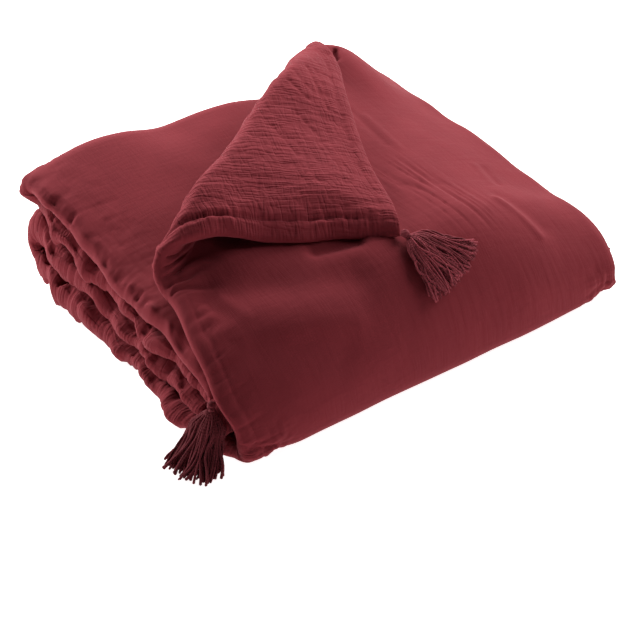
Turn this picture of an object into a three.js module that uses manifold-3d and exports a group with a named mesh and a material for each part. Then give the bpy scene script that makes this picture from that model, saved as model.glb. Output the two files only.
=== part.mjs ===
// Padded bed runner of double gauze, folded back and forth into a pile of five plies.
// The upper ply's left corner is turned back over the top, and a tassel hangs from each corner.
// Millimetres, +Z up: X runs along the front of the pile, Y from its front to its back.
// The origin is in the middle of the flat underside.

import * as THREE from 'three';
import { mergeVertices } from 'three/addons/utils/BufferGeometryUtils.js';
import Module from 'manifold-3d';

const wasm = await Module();
wasm.setup();

// Driving dimensions of the cloth
const RUNNER_WIDTH = 500;
const PLY_THICKNESS = 24;
const PLY_PITCH = 27;
const HEM_LOFT = 0.72;         // thickness at a hem inside the pile as a share of the full thickness
const OUTER_HEM_LOFT = 0.95;   // the same where the hem lies outermost, pressed by nothing
const HEM_LOFT_REACH = 70;     // how far in from a hem the padding is thinner
const HEM_EDGE = 12;           // width of a hem's rounded edge

// Where the folds lie
const PILE_FRONT = -212;
const PILE_BACK = 204;
const PLY_COUNT = 5;
const WRAP_FOOT_RADIUS = 14;   // mid-thickness radius of the front wrap near the floor
const FRONT_ROLL = -150;       // where the inner front roll starts to turn
const INNER_END = -154;        // hem of the runner's inner end
const INNER_DROOP = { turn: 0.5, radius: 75 };  // it bends down over the front roll
const OUTER_END = 219;         // hem of the outer end, before its corner is turned back

// The turned-back corner
const TURN_START = -82;        // where its fold meets the left hem
const TURN_ANGLE = THREE.MathUtils.degToRad(34.5);
const TURN_RADIUS = { atHem: 18, atTip: 22 };
const TURN_LENGTH = 520;
const TURN_SETTLE = 120;       // over this length the flap sinks from its roll onto the ply below
const FLAP_LIFT = PLY_THICKNESS + 1;

// Mesh steps
const WIDE_STEP = 30;
const HEM_STEPS = [0, 1.5, 5, 12];
const FINE_COLUMNS = 30;
const TIGHT_TURN_STEPS = 5;
const WRAP_STEPS = 5;

// Colours and finish
const GAUZE = { color: 0x7e3339, roughness: 0.95, metalness: 0 };
const YARN = { color: 0x6a262c, roughness: 0.9, metalness: 0 };

const HALF_WIDTH = RUNNER_WIDTH / 2;
const HALF_PLY = PLY_THICKNESS / 2;
const LOBE_RADIUS = PLY_PITCH / 2;
const TOP_PLY = PLY_PITCH * (PLY_COUNT - 1) + HALF_PLY;
const PILE_TOP = TOP_PLY + HALF_PLY;
const WRAP_BROW_RADIUS = PLY_PITCH * (PLY_COUNT - 1) - WRAP_FOOT_RADIUS;

function smooth(value) {
  const t = THREE.MathUtils.clamp(value, 0, 1);
  return t * t * (3 - 2 * t);
}

// Path of the mid-thickness line in the YZ plane, from the inner end to the outer end
const BACK_TURN = PILE_BACK - HALF_PLY - LOBE_RADIUS;
const FOOT_TURN = PILE_FRONT + HALF_PLY + WRAP_FOOT_RADIUS;
const BROW_TURN = PILE_FRONT + HALF_PLY + WRAP_BROW_RADIUS;
const FLAP_ZONE = TURN_START - 10;
const DROOP_REACH = INNER_DROOP.radius * Math.sin(INNER_DROOP.turn);
const DROOP_FALL = INNER_DROOP.radius * (1 - Math.cos(INNER_DROOP.turn));
const FOLDS = [
  { name: 'inner end droop', turn: -INNER_DROOP.turn, radius: INNER_DROOP.radius, steps: 2 },
  { name: 'inner end ply', length: BACK_TURN - INNER_END - DROOP_REACH },
  { name: 'upper back lobe', turn: -Math.PI, radius: LOBE_RADIUS, steps: TIGHT_TURN_STEPS },
  { name: 'third ply', length: BACK_TURN - FRONT_ROLL },
  { name: 'front roll', turn: Math.PI, radius: LOBE_RADIUS, steps: TIGHT_TURN_STEPS },
  { name: 'second ply', length: BACK_TURN - FRONT_ROLL },
  { name: 'lower back lobe', turn: -Math.PI, radius: LOBE_RADIUS, steps: TIGHT_TURN_STEPS },
  { name: 'bottom ply', length: BACK_TURN - FOOT_TURN },
  { name: 'wrap foot', turn: -Math.PI / 2, radius: WRAP_FOOT_RADIUS, steps: WRAP_STEPS },
  { name: 'wrap brow', turn: -Math.PI / 2, radius: WRAP_BROW_RADIUS, steps: WRAP_STEPS },
  { name: 'top ply, front', length: FLAP_ZONE - BROW_TURN },
  { name: 'top ply, back', length: OUTER_END - FLAP_ZONE, fine: true },
];

const FOURTH_PLY = HALF_PLY + PLY_PITCH * (PLY_COUNT - 2);
let pathEnd = { s: 0, y: INNER_END, z: FOURTH_PLY - DROOP_FALL, heading: INNER_DROOP.turn };
for (const fold of FOLDS) {
  fold.start = pathEnd;
  fold.length ??= Math.abs(fold.turn) * fold.radius;
  pathEnd = { ...alongFold(fold, fold.length), s: pathEnd.s + fold.length };
}
const RUNNER_LENGTH = pathEnd.s;
const OUTERMOST_FROM = FOLDS.find((fold) => fold.name === 'wrap foot').start.s;
const OUTERMOST_BLEND = 80;

function alongFold(fold, distance) {
  const { y, z, heading } = fold.start;
  if (!fold.turn) {
    return { y: y + Math.cos(heading) * distance, z: z + Math.sin(heading) * distance, heading };
  }
  const turned = heading + (fold.turn * distance) / fold.length;
  const side = Math.sign(fold.turn) * fold.radius;
  return {
    y: y + side * (Math.sin(turned) - Math.sin(heading)),
    z: z - side * (Math.cos(turned) - Math.cos(heading)),
    heading: turned,
  };
}

function foldAt(s) {
  return FOLDS.find((fold) => s <= fold.start.s + fold.length) ?? FOLDS[FOLDS.length - 1];
}

// Thickness: rounded at every hem, and thinner near it
function loft(s, fromSide, fromEnd) {
  const nearest = Math.min(fromSide, fromEnd);
  const outward = smooth((s - OUTERMOST_FROM) / OUTERMOST_BLEND);
  const atHem = HEM_LOFT + (OUTER_HEM_LOFT - HEM_LOFT) * outward;
  return PLY_THICKNESS * (atHem + (1 - atHem) * smooth(nearest / HEM_LOFT_REACH));
}

function edgeRound(fromHem) {
  const inward = Math.min(fromHem / HEM_EDGE, 1);
  return Math.sqrt(1 - (1 - inward) ** 2);
}

// Hems wander in and out, and up and down, as soft quilted edges do
const HEM_WANDER = [
  { side: -1, out: 4.0, outWave: 143, outPhase: 0.6, lift: 3.0, liftWave: 97, liftPhase: 1.1 },
  { side: -1, out: 2.5, outWave: 61, outPhase: 2.1, lift: 1.4, liftWave: 55, liftPhase: 3.9 },
  { side: 1, out: 2.0, outWave: 151, outPhase: 2.4, lift: 3.0, liftWave: 89, liftPhase: 0.2 },
  { side: 1, out: 1.0, outWave: 67, outPhase: 0.3, lift: 1.4, liftWave: 59, liftPhase: 2.2 },
];
const HEM_BULGES = [
  { side: -1, y: -95, widthY: 50, z: 12, widthZ: 26, out: 12 },
  { side: -1, y: 195, widthY: 55, z: 80, widthZ: 30, out: 9 },
  { side: -1, y: 190, widthY: 60, z: 26, widthZ: 24, out: 6 },
];
const WANDER_REACH = 60;
const CALM_FLAP = 0.45;        // the turned-back corner's own hem wanders less

function bell(distance) {
  return Math.exp(-(distance ** 2));
}

function hemWander(s, side, fromSide, y, z) {
  const fade = (1 - Math.min(fromSide / WANDER_REACH, 1)) ** 2;
  const calm = THREE.MathUtils.lerp(1, CALM_FLAP, smooth((s - OUTERMOST_FROM) / OUTERMOST_BLEND));
  let out = 0;
  let lift = 0;
  for (const wave of HEM_WANDER.filter((row) => row.side === side)) {
    out += calm * wave.out * Math.sin((2 * Math.PI * s) / wave.outWave + wave.outPhase);
    lift += calm * wave.lift * Math.sin((2 * Math.PI * s) / wave.liftWave + wave.liftPhase);
  }
  for (const bulge of HEM_BULGES.filter((row) => row.side === side)) {
    out += bulge.out * bell((y - bulge.y) / bulge.widthY) * bell((z - bulge.z) / bulge.widthZ);
  }
  return { out: out * fade, lift: lift * fade };
}

// Over the front of the pile, what lies flat on the top ply follows the wrap's curve down
function overBrow(y, z, onTop) {
  if (y >= BROW_TURN) return { y, z };
  const centre = TOP_PLY - WRAP_BROW_RADIUS;
  const angle = (BROW_TURN - y) / (WRAP_BROW_RADIUS + onTop);
  return { y: BROW_TURN - (z - centre) * Math.sin(angle), z: centre + (z - centre) * Math.cos(angle) };
}

// The corner turned back: distance across the fold line becomes a half-round roll, then a flap
const TURN_ALONG = new THREE.Vector2(Math.cos(TURN_ANGLE), Math.sin(TURN_ANGLE));
const TURN_ACROSS = new THREE.Vector2(-Math.sin(TURN_ANGLE), Math.cos(TURN_ANGLE));
const TURN_ORIGIN = new THREE.Vector2(-HALF_WIDTH, TURN_START);

// The fold bows outwards near the left hem, and the cloth rises into it at the back hem
const TURN_BOW = { out: 5, until: 250, back: 8, over: 200 };
const TIP_RISE = { x: 172, y: 216, height: 35, widthX: 44, widthY: 55 };

function bowAt(along) {
  const t = THREE.MathUtils.clamp(along / TURN_BOW.until, 0, 1);
  const inward = TURN_BOW.back * smooth((along - TURN_BOW.until) / TURN_BOW.over);
  return TURN_BOW.out * Math.sin(Math.PI * t) ** 2 - inward;
}

function tipRise(x, y) {
  const nearness = bell((x - TIP_RISE.x) / TIP_RISE.widthX) * bell((y - TIP_RISE.y) / TIP_RISE.widthY);
  return TIP_RISE.height * nearness;
}

function turnBack(along, across) {
  const radius = THREE.MathUtils.lerp(TURN_RADIUS.atHem, TURN_RADIUS.atTip, along / TURN_LENGTH);
  const arc = Math.PI * radius;
  if (across <= 0) return { reach: across, rise: 0, angle: 0 };
  if (across < arc) {
    const angle = across / radius;
    return { reach: radius * Math.sin(angle), rise: radius * (1 - Math.cos(angle)), angle };
  }
  const past = across - arc;
  const t = Math.min(past / TURN_SETTLE, 1);
  const drop = 2 * radius - FLAP_LIFT;
  const slope = (drop * 6 * t * (1 - t)) / TURN_SETTLE;
  return { reach: -past, rise: 2 * radius - drop * smooth(t), angle: Math.PI + Math.atan(slope) };
}

// Height of the pile's top over the floor, were all five plies there, at stations in X and Y
const HEIGHT_X = [-250, -150, 0, 100, 250];
const PILE_HEIGHT = [
  { y: -205, leftHem: 66, left: 100, middle: 116, right: 110, rightHem: 64 },
  { y: -140, leftHem: 94, left: 118, middle: 128, right: 122, rightHem: 80 },
  { y: -60, leftHem: 120, left: 130, middle: 133, right: 127, rightHem: 72 },
  { y: 40, leftHem: 136, left: 146, middle: 146, right: 134, rightHem: 79 },
  { y: 130, leftHem: 148, left: 156, middle: 160, right: 142, rightHem: 81 },
  { y: 200, leftHem: 159, left: 168, middle: 180, right: 148, rightHem: 80 },
];
const HEIGHT_Y = PILE_HEIGHT.map((row) => row.y);
const HEIGHTS = PILE_HEIGHT.map((row) => [row.leftHem, row.left, row.middle, row.right, row.rightHem]);

// Smooth curve through the stations, with slopes from their neighbours
function curveThrough(stations, values, at) {
  const last = stations.length - 1;
  const x = THREE.MathUtils.clamp(at, stations[0], stations[last]);
  let i = 0;
  while (i < last - 1 && x > stations[i + 1]) i++;
  const slopeAt = (k) => {
    const before = Math.max(k - 1, 0);
    const after = Math.min(k + 1, last);
    return (values[after] - values[before]) / (stations[after] - stations[before]);
  };
  const span = stations[i + 1] - stations[i];
  const t = (x - stations[i]) / span;
  const rise = values[i + 1] - values[i];
  const a = slopeAt(i) * span - rise;
  const b = rise - slopeAt(i + 1) * span;
  return values[i] + rise * t + t * (1 - t) * (a * (1 - t) + b * t);
}

function pileHeight(x, y) {
  return curveThrough(HEIGHT_Y, HEIGHTS.map((row) => curveThrough(HEIGHT_X, row, x)), y);
}

// The lower plies lie looser at the back left, where the lower lobe gapes
const SLACK = { most: 0.75, fromX: 0, toX: -220, fromY: 0, toY: 190 };

function slackAt(x, y) {
  const acrossX = smooth((SLACK.fromX - x) / (SLACK.fromX - SLACK.toX));
  const acrossY = smooth((y - SLACK.fromY) / (SLACK.toY - SLACK.fromY));
  return SLACK.most * acrossX * acrossY;
}

// The front right corner is rounded in plan
const CORNER_PULL = { most: 18, fromX: 150, fromY: -40, toY: -190 };

function settle(x, y, z) {
  const share = z / PILE_TOP;
  const height = pileHeight(x, y);
  const slack = slackAt(x, y);
  const corner = smooth((x - CORNER_PULL.fromX) / (2 * (HALF_WIDTH - CORNER_PULL.fromX)));
  const front = smooth((CORNER_PULL.fromY - y) / (CORNER_PULL.fromY - CORNER_PULL.toY));
  const newY = y + 2 * CORNER_PULL.most * corner * front;
  const newZ = share <= 1 ? height * (share + slack * share * (1 - share)) : height + z - PILE_TOP;
  return new THREE.Vector3(x, newY, Math.max(newZ, 0));
}

// A point of the folded runner: s along its length, u across its width, h off its mid-thickness
function clothPoint(s, u, h) {
  const fold = foldAt(s);
  const { y, z, heading } = alongFold(fold, s - fold.start.s);
  const fromSide = HALF_WIDTH - Math.abs(u);
  const { out, lift } = hemWander(s, Math.sign(u), fromSide, y, z);
  const x = u + Math.sign(u) * out;
  const off = h + lift + (fold.name === 'bottom ply' ? HALF_PLY - loft(s, fromSide, Infinity) / 2 : 0);
  if (fold.fine) {
    const place = new THREE.Vector2(x, y).sub(TURN_ORIGIN);
    const along = place.dot(TURN_ALONG);
    const bow = bowAt(along);
    const { reach, rise, angle } = turnBack(along, place.dot(TURN_ACROSS) - bow);
    const spot = TURN_ORIGIN.clone()
      .addScaledVector(TURN_ALONG, along)
      .addScaledVector(TURN_ACROSS, bow + reach - Math.sin(angle) * off);
    const turned = overBrow(spot.y, z + rise + Math.cos(angle) * off, FLAP_LIFT);
    return settle(spot.x, turned.y, turned.z + tipRise(spot.x, spot.y));
  }
  return settle(x, y - Math.sin(heading) * off, z + Math.cos(heading) * off);
}

// Stations along the length, and across the width
function lengthStations() {
  const stations = [];
  for (const fold of FOLDS) {
    const fineStep = (RUNNER_WIDTH - 2 * HEM_EDGE) / FINE_COLUMNS * Math.tan(TURN_ANGLE);
    const steps = fold.steps ?? Math.max(1, Math.round(fold.length / (fold.fine ? fineStep : WIDE_STEP)));
    for (let i = 0; i < steps; i++) {
      stations.push({ s: fold.start.s + (fold.length * i) / steps, fine: Boolean(fold.fine) });
    }
  }
  const inside = stations.filter(({ s }) => s > HEM_EDGE && s < RUNNER_LENGTH - HEM_EDGE);
  const innerHem = HEM_STEPS.map((s) => ({ s, fine: false }));
  const outerHem = HEM_STEPS.map((s) => ({ s: RUNNER_LENGTH - s, fine: true })).reverse();
  return [...innerHem, ...inside, ...outerHem];
}

function widthStations(fine) {
  const columns = fine ? FINE_COLUMNS : FINE_COLUMNS / 2;
  const across = HEM_STEPS.map((e) => e - HALF_WIDTH);
  const span = RUNNER_WIDTH - 2 * HEM_EDGE;
  for (let i = 1; i < columns; i++) across.push(-HALF_WIDTH + HEM_EDGE + (span * i) / columns);
  for (const e of [...HEM_STEPS].reverse()) across.push(HALF_WIDTH - e);
  return across;
}

// Triangles between two rows of points that may differ in number
function bridgeRows(rowA, rowB, triangles) {
  let i = 0;
  let j = 0;
  while (i < rowA.length - 1 || j < rowB.length - 1) {
    const nextA = i + 1 < rowA.length ? rowA[i + 1].u : Infinity;
    const nextB = j + 1 < rowB.length ? rowB[j + 1].u : Infinity;
    if (nextB <= nextA) {
      triangles.push(rowA[i].point, rowB[j + 1].point, rowB[j].point);
      j++;
    } else {
      triangles.push(rowA[i].point, rowA[i + 1].point, rowB[j].point);
      i++;
    }
  }
}

const WELD = 1e-4;

function geometryFromTriangles(points) {
  return mergeVertices(new THREE.BufferGeometry().setFromPoints(points), WELD);
}

function runnerGeometry() {
  const faces = { 1: [], [-1]: [] };
  const stations = lengthStations();
  for (const face of [1, -1]) {
    let before = null;
    for (const { s, fine } of stations) {
      const fromEnd = Math.min(s, RUNNER_LENGTH - s);
      const row = widthStations(fine).map((u) => {
        const fromSide = HALF_WIDTH - Math.abs(u);
        const thickness = loft(s, fromSide, fromEnd) * edgeRound(fromSide) * edgeRound(fromEnd);
        return { u, point: clothPoint(s, u, (face * thickness) / 2) };
      });
      if (before) bridgeRows(before, row, faces[face]);
      before = row;
    }
  }
  const under = [];
  for (let i = 0; i < faces[-1].length; i += 3) {
    under.push(faces[-1][i], faces[-1][i + 2], faces[-1][i + 1]);
  }
  return geometryFromTriangles([...faces[1], ...under]);
}

function solidOf(geometry) {
  const bare = geometry.clone();
  bare.deleteAttribute('normal');
  bare.deleteAttribute('uv');
  const merged = mergeVertices(bare, WELD);
  const vertProperties = new Float32Array(merged.getAttribute('position').array);
  const triVerts = new Uint32Array(merged.getIndex().array);
  return new wasm.Manifold(new wasm.Mesh({ numProp: 3, vertProperties, triVerts }));
}

function geometryOf(solid) {
  const { vertProperties, triVerts } = solid.getMesh();
  const geometry = new THREE.BufferGeometry();
  geometry.setAttribute('position', new THREE.BufferAttribute(vertProperties, 3));
  geometry.setIndex(new THREE.BufferAttribute(triVerts, 1));
  return geometry;
}

// Joins a head and its strands; the voids that crossing strands would seal between them are filled
function fused(solids) {
  const shells = wasm.Manifold.union(solids).decompose();
  return geometryOf(shells.reduce((most, shell) => (shell.volume() > most.volume() ? shell : most)));
}

// A tassel's head, from the cord at the cloth's corner over the knot to the bound neck
const HEAD_PROFILE = [
  { radius: 0, along: 0 },
  { radius: 1.6, along: 0.3 },
  { radius: 1.6, along: 1.6 },
  { radius: 4.4, along: 3.2 },
  { radius: 5.4, along: 6.2 },
  { radius: 4.6, along: 9.2 },
  { radius: 4.0, along: 10.6 },
  { radius: 4.6, along: 12 },
  { radius: 4.6, along: 16 },
  { radius: 0, along: 18 },
];
const HEAD_SIDES = 10;
const NECK = { from: 14, length: 18, spread: 3 };
const STRAND_RADIUS = 1.9;
const STRAND_STEPS = 3;
const STRAND_STOPS = [0, 0.3, 0.65, 1];   // shares of a strand's length that its path is drawn through

function headSolid(from, towards) {
  const profile = HEAD_PROFILE.map(({ radius, along }) => new THREE.Vector2(radius, along));
  const head = new THREE.LatheGeometry(profile, HEAD_SIDES);
  const direction = towards.clone().sub(from).normalize();
  head.applyQuaternion(new THREE.Quaternion().setFromUnitVectors(new THREE.Vector3(0, 1, 0), direction));
  head.translate(from.x, from.y, from.z);
  return solidOf(head);
}

function strandSolid(points) {
  const section = new THREE.Shape();
  for (let i = 0; i < 3; i++) {
    const angle = (2 * Math.PI * i) / 3;
    const corner = [STRAND_RADIUS * Math.cos(angle), STRAND_RADIUS * Math.sin(angle)];
    if (i === 0) section.moveTo(...corner);
    else section.lineTo(...corner);
  }
  const path = new THREE.CatmullRomCurve3(points);
  return solidOf(new THREE.ExtrudeGeometry(section, { steps: STRAND_STEPS, extrudePath: path }));
}

// Strands side by side in three layers: their share across the fan, their place in the neck,
// and their length from 0, the shortest, to 1
const LAYERS = 3;
const LENGTHS = [0, 0.5, 1, 0.25, 0.75];

function strandSpread(count) {
  return Array.from({ length: count }, (_, i) => {
    const share = (i + 0.5) / count;
    const layer = i % LAYERS;
    const side = NECK.spread * (2 * share - 1);
    const up = (NECK.spread * (layer - 1)) / 2;
    return { share, layer, side, up, length: LENGTHS[i % LENGTHS.length] };
  });
}

// Tassel of the turned-back corner: it lies on the top ply and over the front of the pile
const LYING_FAN = {
  strands: 26, lean: 0.5, halfAngle: 0.54, short: 49, long: 57, stretch: 12,
  lift: 0.4, layerGap: 2.4, droop: 1.4,
};
const LYING_HEAD = { start: 0.9, startHeight: 11.6, neckHeight: 6.6 };

function lyingTassel() {
  const corner = clothPoint(RUNNER_LENGTH, -HALF_WIDTH, 0);
  const cornerAngle = Math.asin((BROW_TURN - corner.y) / (WRAP_BROW_RADIUS + FLAP_LIFT));
  const place = (v, w, h) => {
    const radius = WRAP_BROW_RADIUS + HALF_PLY + h;
    const angle = cornerAngle + v / (WRAP_BROW_RADIUS + HALF_PLY);
    const y = BROW_TURN - radius * Math.sin(angle);
    return settle(corner.x + w, y, TOP_PLY - WRAP_BROW_RADIUS + radius * Math.cos(angle));
  };
  const fanPlace = (distance, lean, h) => place(distance * Math.cos(lean), distance * Math.sin(lean), h);
  const headStart = fanPlace(LYING_HEAD.start, LYING_FAN.lean, LYING_HEAD.startHeight);
  const headEnd = fanPlace(NECK.length, LYING_FAN.lean, LYING_HEAD.neckHeight);
  const solids = [headSolid(headStart, headEnd)];
  for (const { share, layer, length, side, up } of strandSpread(LYING_FAN.strands)) {
    const lean = LYING_FAN.lean + LYING_FAN.halfAngle * (2 * share - 1);
    const reach = THREE.MathUtils.lerp(LYING_FAN.short, LYING_FAN.long, length) + LYING_FAN.stretch * share;
    const tipHeight = STRAND_RADIUS + LYING_FAN.lift + LYING_FAN.layerGap * layer;
    const rootV = NECK.from * Math.cos(LYING_FAN.lean) - side * Math.sin(LYING_FAN.lean);
    const rootW = NECK.from * Math.sin(LYING_FAN.lean) + side * Math.cos(LYING_FAN.lean);
    const points = STRAND_STOPS.map((t) => place(
      rootV + reach * t * Math.cos(lean),
      rootW + reach * t * Math.sin(lean),
      THREE.MathUtils.lerp(tipHeight, LYING_HEAD.neckHeight + up, (1 - t) ** LYING_FAN.droop),
    ));
    solids.push(strandSolid(points));
  }
  return fused(solids);
}

// The other tassels hang from their corner and spread on the surface below: each layer of strands
// reaches a share of the fan, bends outwards and falls
const LAYER_REACH = [0.78, 0.89, 1];
const HANG = { outward: 1.5, fall: 1.25, floorGap: 0.1 };
const HANGING = [
  {
    name: 'tassel_inner_left', s: 0, side: -1, strands: 26,
    start: { x: -0.3, y: -0.4, z: -0.2 }, neck: { x: -7, y: -14, z: -15 },
    fan: { from: 163, to: 243, short: 42, long: 52 },
  },
  {
    name: 'tassel_inner_right', s: 0, side: 1, strands: 18,
    start: { x: 0.4, y: -0.2, z: -0.2 }, neck: { x: 13, y: 3, z: -15 },
    fan: { from: 92, to: 40, short: 24, long: 38 },
  },
  {
    name: 'tassel_outer_right', s: RUNNER_LENGTH, side: 1, strands: 18,
    start: { x: 0.3, y: 0.4, z: -0.2 }, neck: { x: 9, y: 9, z: -20 },
    fan: { from: 150, to: 30, short: 20, long: 34 },
  },
];

function hangingTassel({ s, side, strands, start, neck, fan }) {
  const corner = clothPoint(s, side * HALF_WIDTH, 0);
  const from = corner.clone().add(start);
  const to = corner.clone().add(neck);
  const solids = [headSolid(from, to)];
  const root = from.clone().lerp(to, NECK.from / from.distanceTo(to));
  const middle = THREE.MathUtils.degToRad((fan.from + fan.to) / 2);
  const outward = new THREE.Vector3(Math.cos(middle), Math.sin(middle), 0);
  const sideways = new THREE.Vector3(-outward.y, outward.x, 0).multiplyScalar(Math.sign(fan.to - fan.from));
  for (const { share, layer, length, side: across, up } of strandSpread(strands)) {
    const strandRoot = root.clone().addScaledVector(sideways, across).addScaledVector(outward, up);
    const bearing = THREE.MathUtils.degToRad(THREE.MathUtils.lerp(fan.from, fan.to, share));
    const reach = THREE.MathUtils.lerp(fan.short, fan.long, length) * LAYER_REACH[layer];
    const points = STRAND_STOPS.map((t) => new THREE.Vector3(
      strandRoot.x + reach * Math.cos(bearing) * t ** HANG.outward,
      strandRoot.y + reach * Math.sin(bearing) * t ** HANG.outward,
      THREE.MathUtils.lerp(STRAND_RADIUS + HANG.floorGap, strandRoot.z, (1 - t) ** HANG.fall),
    ));
    solids.push(strandSolid(points));
  }
  return fused(solids);
}

const object = new THREE.Group();

function addPiece(name, geometry, finish) {
  const mesh = new THREE.Mesh(geometry, new THREE.MeshStandardMaterial(finish));
  mesh.name = name;
  object.add(mesh);
}

addPiece('runner', runnerGeometry(), GAUZE);
addPiece('tassel_flap', lyingTassel(), YARN);
for (const tassel of HANGING) addPiece(tassel.name, hangingTassel(tassel), YARN);

export default object;
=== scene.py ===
"""Bed runner of padded double gauze, folded into a pile, with a knotted tassel at each corner.

Sizes in the classes are millimetres in the frame's axes: X along the front of the pile,
Y from its front to its back, Z up, and the origin in the middle of the flat underside.
A place on the cloth is (s, u): s is the distance along it from its inner end, and u the distance
across it from its middle, negative on the left. Most functions take s as a column (n, 1) and u as
a row (1, m), and return one value for each point of the grid, (n, m).
"""

import logging
import math
from dataclasses import dataclass, field
from enum import Enum

import bpy
import numpy as np
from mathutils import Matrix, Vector


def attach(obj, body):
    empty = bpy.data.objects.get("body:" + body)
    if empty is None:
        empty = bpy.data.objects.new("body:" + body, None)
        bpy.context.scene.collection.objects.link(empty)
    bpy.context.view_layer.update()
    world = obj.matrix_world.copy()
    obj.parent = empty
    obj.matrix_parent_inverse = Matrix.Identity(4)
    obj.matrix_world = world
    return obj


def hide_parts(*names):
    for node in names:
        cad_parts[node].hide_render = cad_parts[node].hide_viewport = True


Array = np.ndarray
Pair = tuple[float, float]
Triple = tuple[float, float, float]
Curve = tuple[float, ...]
MeshParts = tuple[Array, Array, Array]
Tree = bpy.types.NodeTree
Socket = bpy.types.NodeSocket

MM = 0.001
POLE = 1e-4                      # radius, in mm, of a ring that closes to a point
HASH_FACTORS = (374761393, 668265263, 974634777, 1274126177)  # odd numbers that mix bits well
CLOTH_UV = "cloth_mm"
CRINKLED_SHARE = "crinkled"
TONE_SHARE = "tone"
LOG = logging.getLogger("bed_runner")


def smooth(value: Array | float) -> Array:
    """Smooth step from 0 to 1: t * t * (3 - 2 t), with t the value held between 0 and 1."""
    t = np.clip(value, 0.0, 1.0)
    return t * t * (3 - 2 * t)


def ramp(value: Array | float, start: float, end: float) -> Array:
    """Smooth step of a value that runs from start to end, which may lie below it."""
    return smooth((value - start) / (end - start))


def bell(distance: Array | float) -> Array:
    """Bell curve: e to the power of minus the distance squared."""
    return np.exp(-np.square(distance))


def lerp(low: Array | float, high: Array | float, share: Array | float) -> Array:
    """Straight mix: low + (high - low) * share."""
    return low + (high - low) * share


def grown(size: Pair, share: Array) -> Array:
    """A size that grows: its first value plus its second times a share."""
    return size[0] + size[1] * share


def quarter_round(from_edge: Array, reach: Array | float) -> Array:
    """Quarter circle at an edge: square root of 1 - (1 - d)^2, with d the share of its reach."""
    return np.sqrt(1 - (1 - np.minimum(from_edge / reach, 1)) ** 2)


def curve_through(stations: Curve, values: Curve | Array, at: Array) -> Array:
    """Smooth curve through values at stations, with slopes from their neighbours.

    Between two stations the curve is value + rise t + t (1 - t) (a (1 - t) + b t), where a and b
    are how far the slopes at both ends differ from the straight rise.

    Args:
        stations: increasing positions, shape (k,).
        values: values there, shape (k,) or (k, ...) where the rest matches at.
        at: where the curve is read.

    Returns:
        The curve's values, in at's shape.
    """
    stations, values = np.asarray(stations, float), np.asarray(values, float)
    last = len(stations) - 1
    x = np.clip(at, stations[0], stations[last])
    left = np.clip(np.searchsorted(stations, x, side="right") - 1, 0, last - 1)
    slots = [np.maximum(left - 1, 0), left, left + 1, np.minimum(left + 2, last)]
    place = [stations[slot] for slot in slots]
    if values.ndim == 1:
        level = [values[slot] for slot in slots]
    else:
        level = [np.take_along_axis(values, slot[None], axis=0)[0] for slot in slots]
    span = place[2] - place[1]
    t = (x - place[1]) / span
    rise = level[2] - level[1]
    slope_before = (level[2] - level[0]) / (place[2] - place[0])
    slope_after = (level[3] - level[1]) / (place[3] - place[1])
    a = slope_before * span - rise
    b = rise - slope_after * span
    return level[1] + rise * t + t * (1 - t) * (a * (1 - t) + b * t)


def lattice_noise(x: Array, y: Array, seed: int) -> Array:
    """Smooth noise from -1 to 1 on a unit lattice, the same on every run.

    Each lattice corner gets a value from an integer hash of its place and the seed, and a point
    gets the mix of its four corners, weighted by 6 f^5 - 15 f^4 + 10 f^3 of its place between.

    Args:
        x: first coordinate.
        y: second coordinate, which may have another shape that broadcasts with x.
        seed: picks one noise out of many.

    Returns:
        Noise in the broadcast shape.
    """
    x, y = np.broadcast_arrays(np.asarray(x, float), np.asarray(y, float))
    column, row = np.floor(x).astype(np.int64), np.floor(y).astype(np.int64)
    fx, fy = x - column, y - row
    by_column, by_row, by_seed, by_mix = HASH_FACTORS

    def corner(dx: int, dy: int) -> Array:
        """Hash of one lattice corner as a value from -1 to 1, from its lowest 16 bits."""
        mixed = (column + dx) * by_column + (row + dy) * by_row + seed * by_seed
        mixed = (mixed ^ (mixed >> 13)) * by_mix & 0xFFFFFFFF
        return ((mixed ^ (mixed >> 16)) & 0xFFFF) / (0xFFFF / 2) - 1

    def fade(f: Array) -> Array:
        """Weight of the far corner."""
        return f * f * f * (f * (f * 6 - 15) + 10)

    wx, wy = fade(fx), fade(fy)
    near = lerp(corner(0, 0), corner(1, 0), wx)
    far = lerp(corner(0, 1), corner(1, 1), wx)
    return lerp(near, far, wy)


class Face(Enum):
    """The two faces of the padded cloth. The value is the sign of the way out of it."""

    OUTER = 1
    INNER = -1

    @property
    def seed(self) -> int:
        """Picks the face's own noise."""
        return 100 if self is Face.OUTER else 200


@dataclass(frozen=True)
class Creases:
    """One set of long narrow creases between soft puffs."""

    length: float
    spacing: float
    sharp: float
    seed: int = 0

    def depth(self, along: Array, across: Array, seed: int = 0) -> Array:
        """How far the creases cut in.

        Formula: -(1 - |n|) to the power of sharp, where n is noise stretched to length by spacing,
        so a crease runs wherever the noise passes through zero. Slower noise bends the creases by
        up to 0.6 of their spacing.

        Args:
            along: distance the way the creases run.
            across: distance square to them.
            seed: added to the set's own.

        Returns:
            0 on a puff, down to -1 in a crease.
        """
        seed = self.seed + seed
        bend = lattice_noise(along / (1.7 * self.length), across / (4 * self.spacing), seed + 1)
        n = lattice_noise(along / self.length, across / self.spacing + 0.6 * bend, seed)
        return -((1 - np.abs(n)) ** self.sharp)


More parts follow.
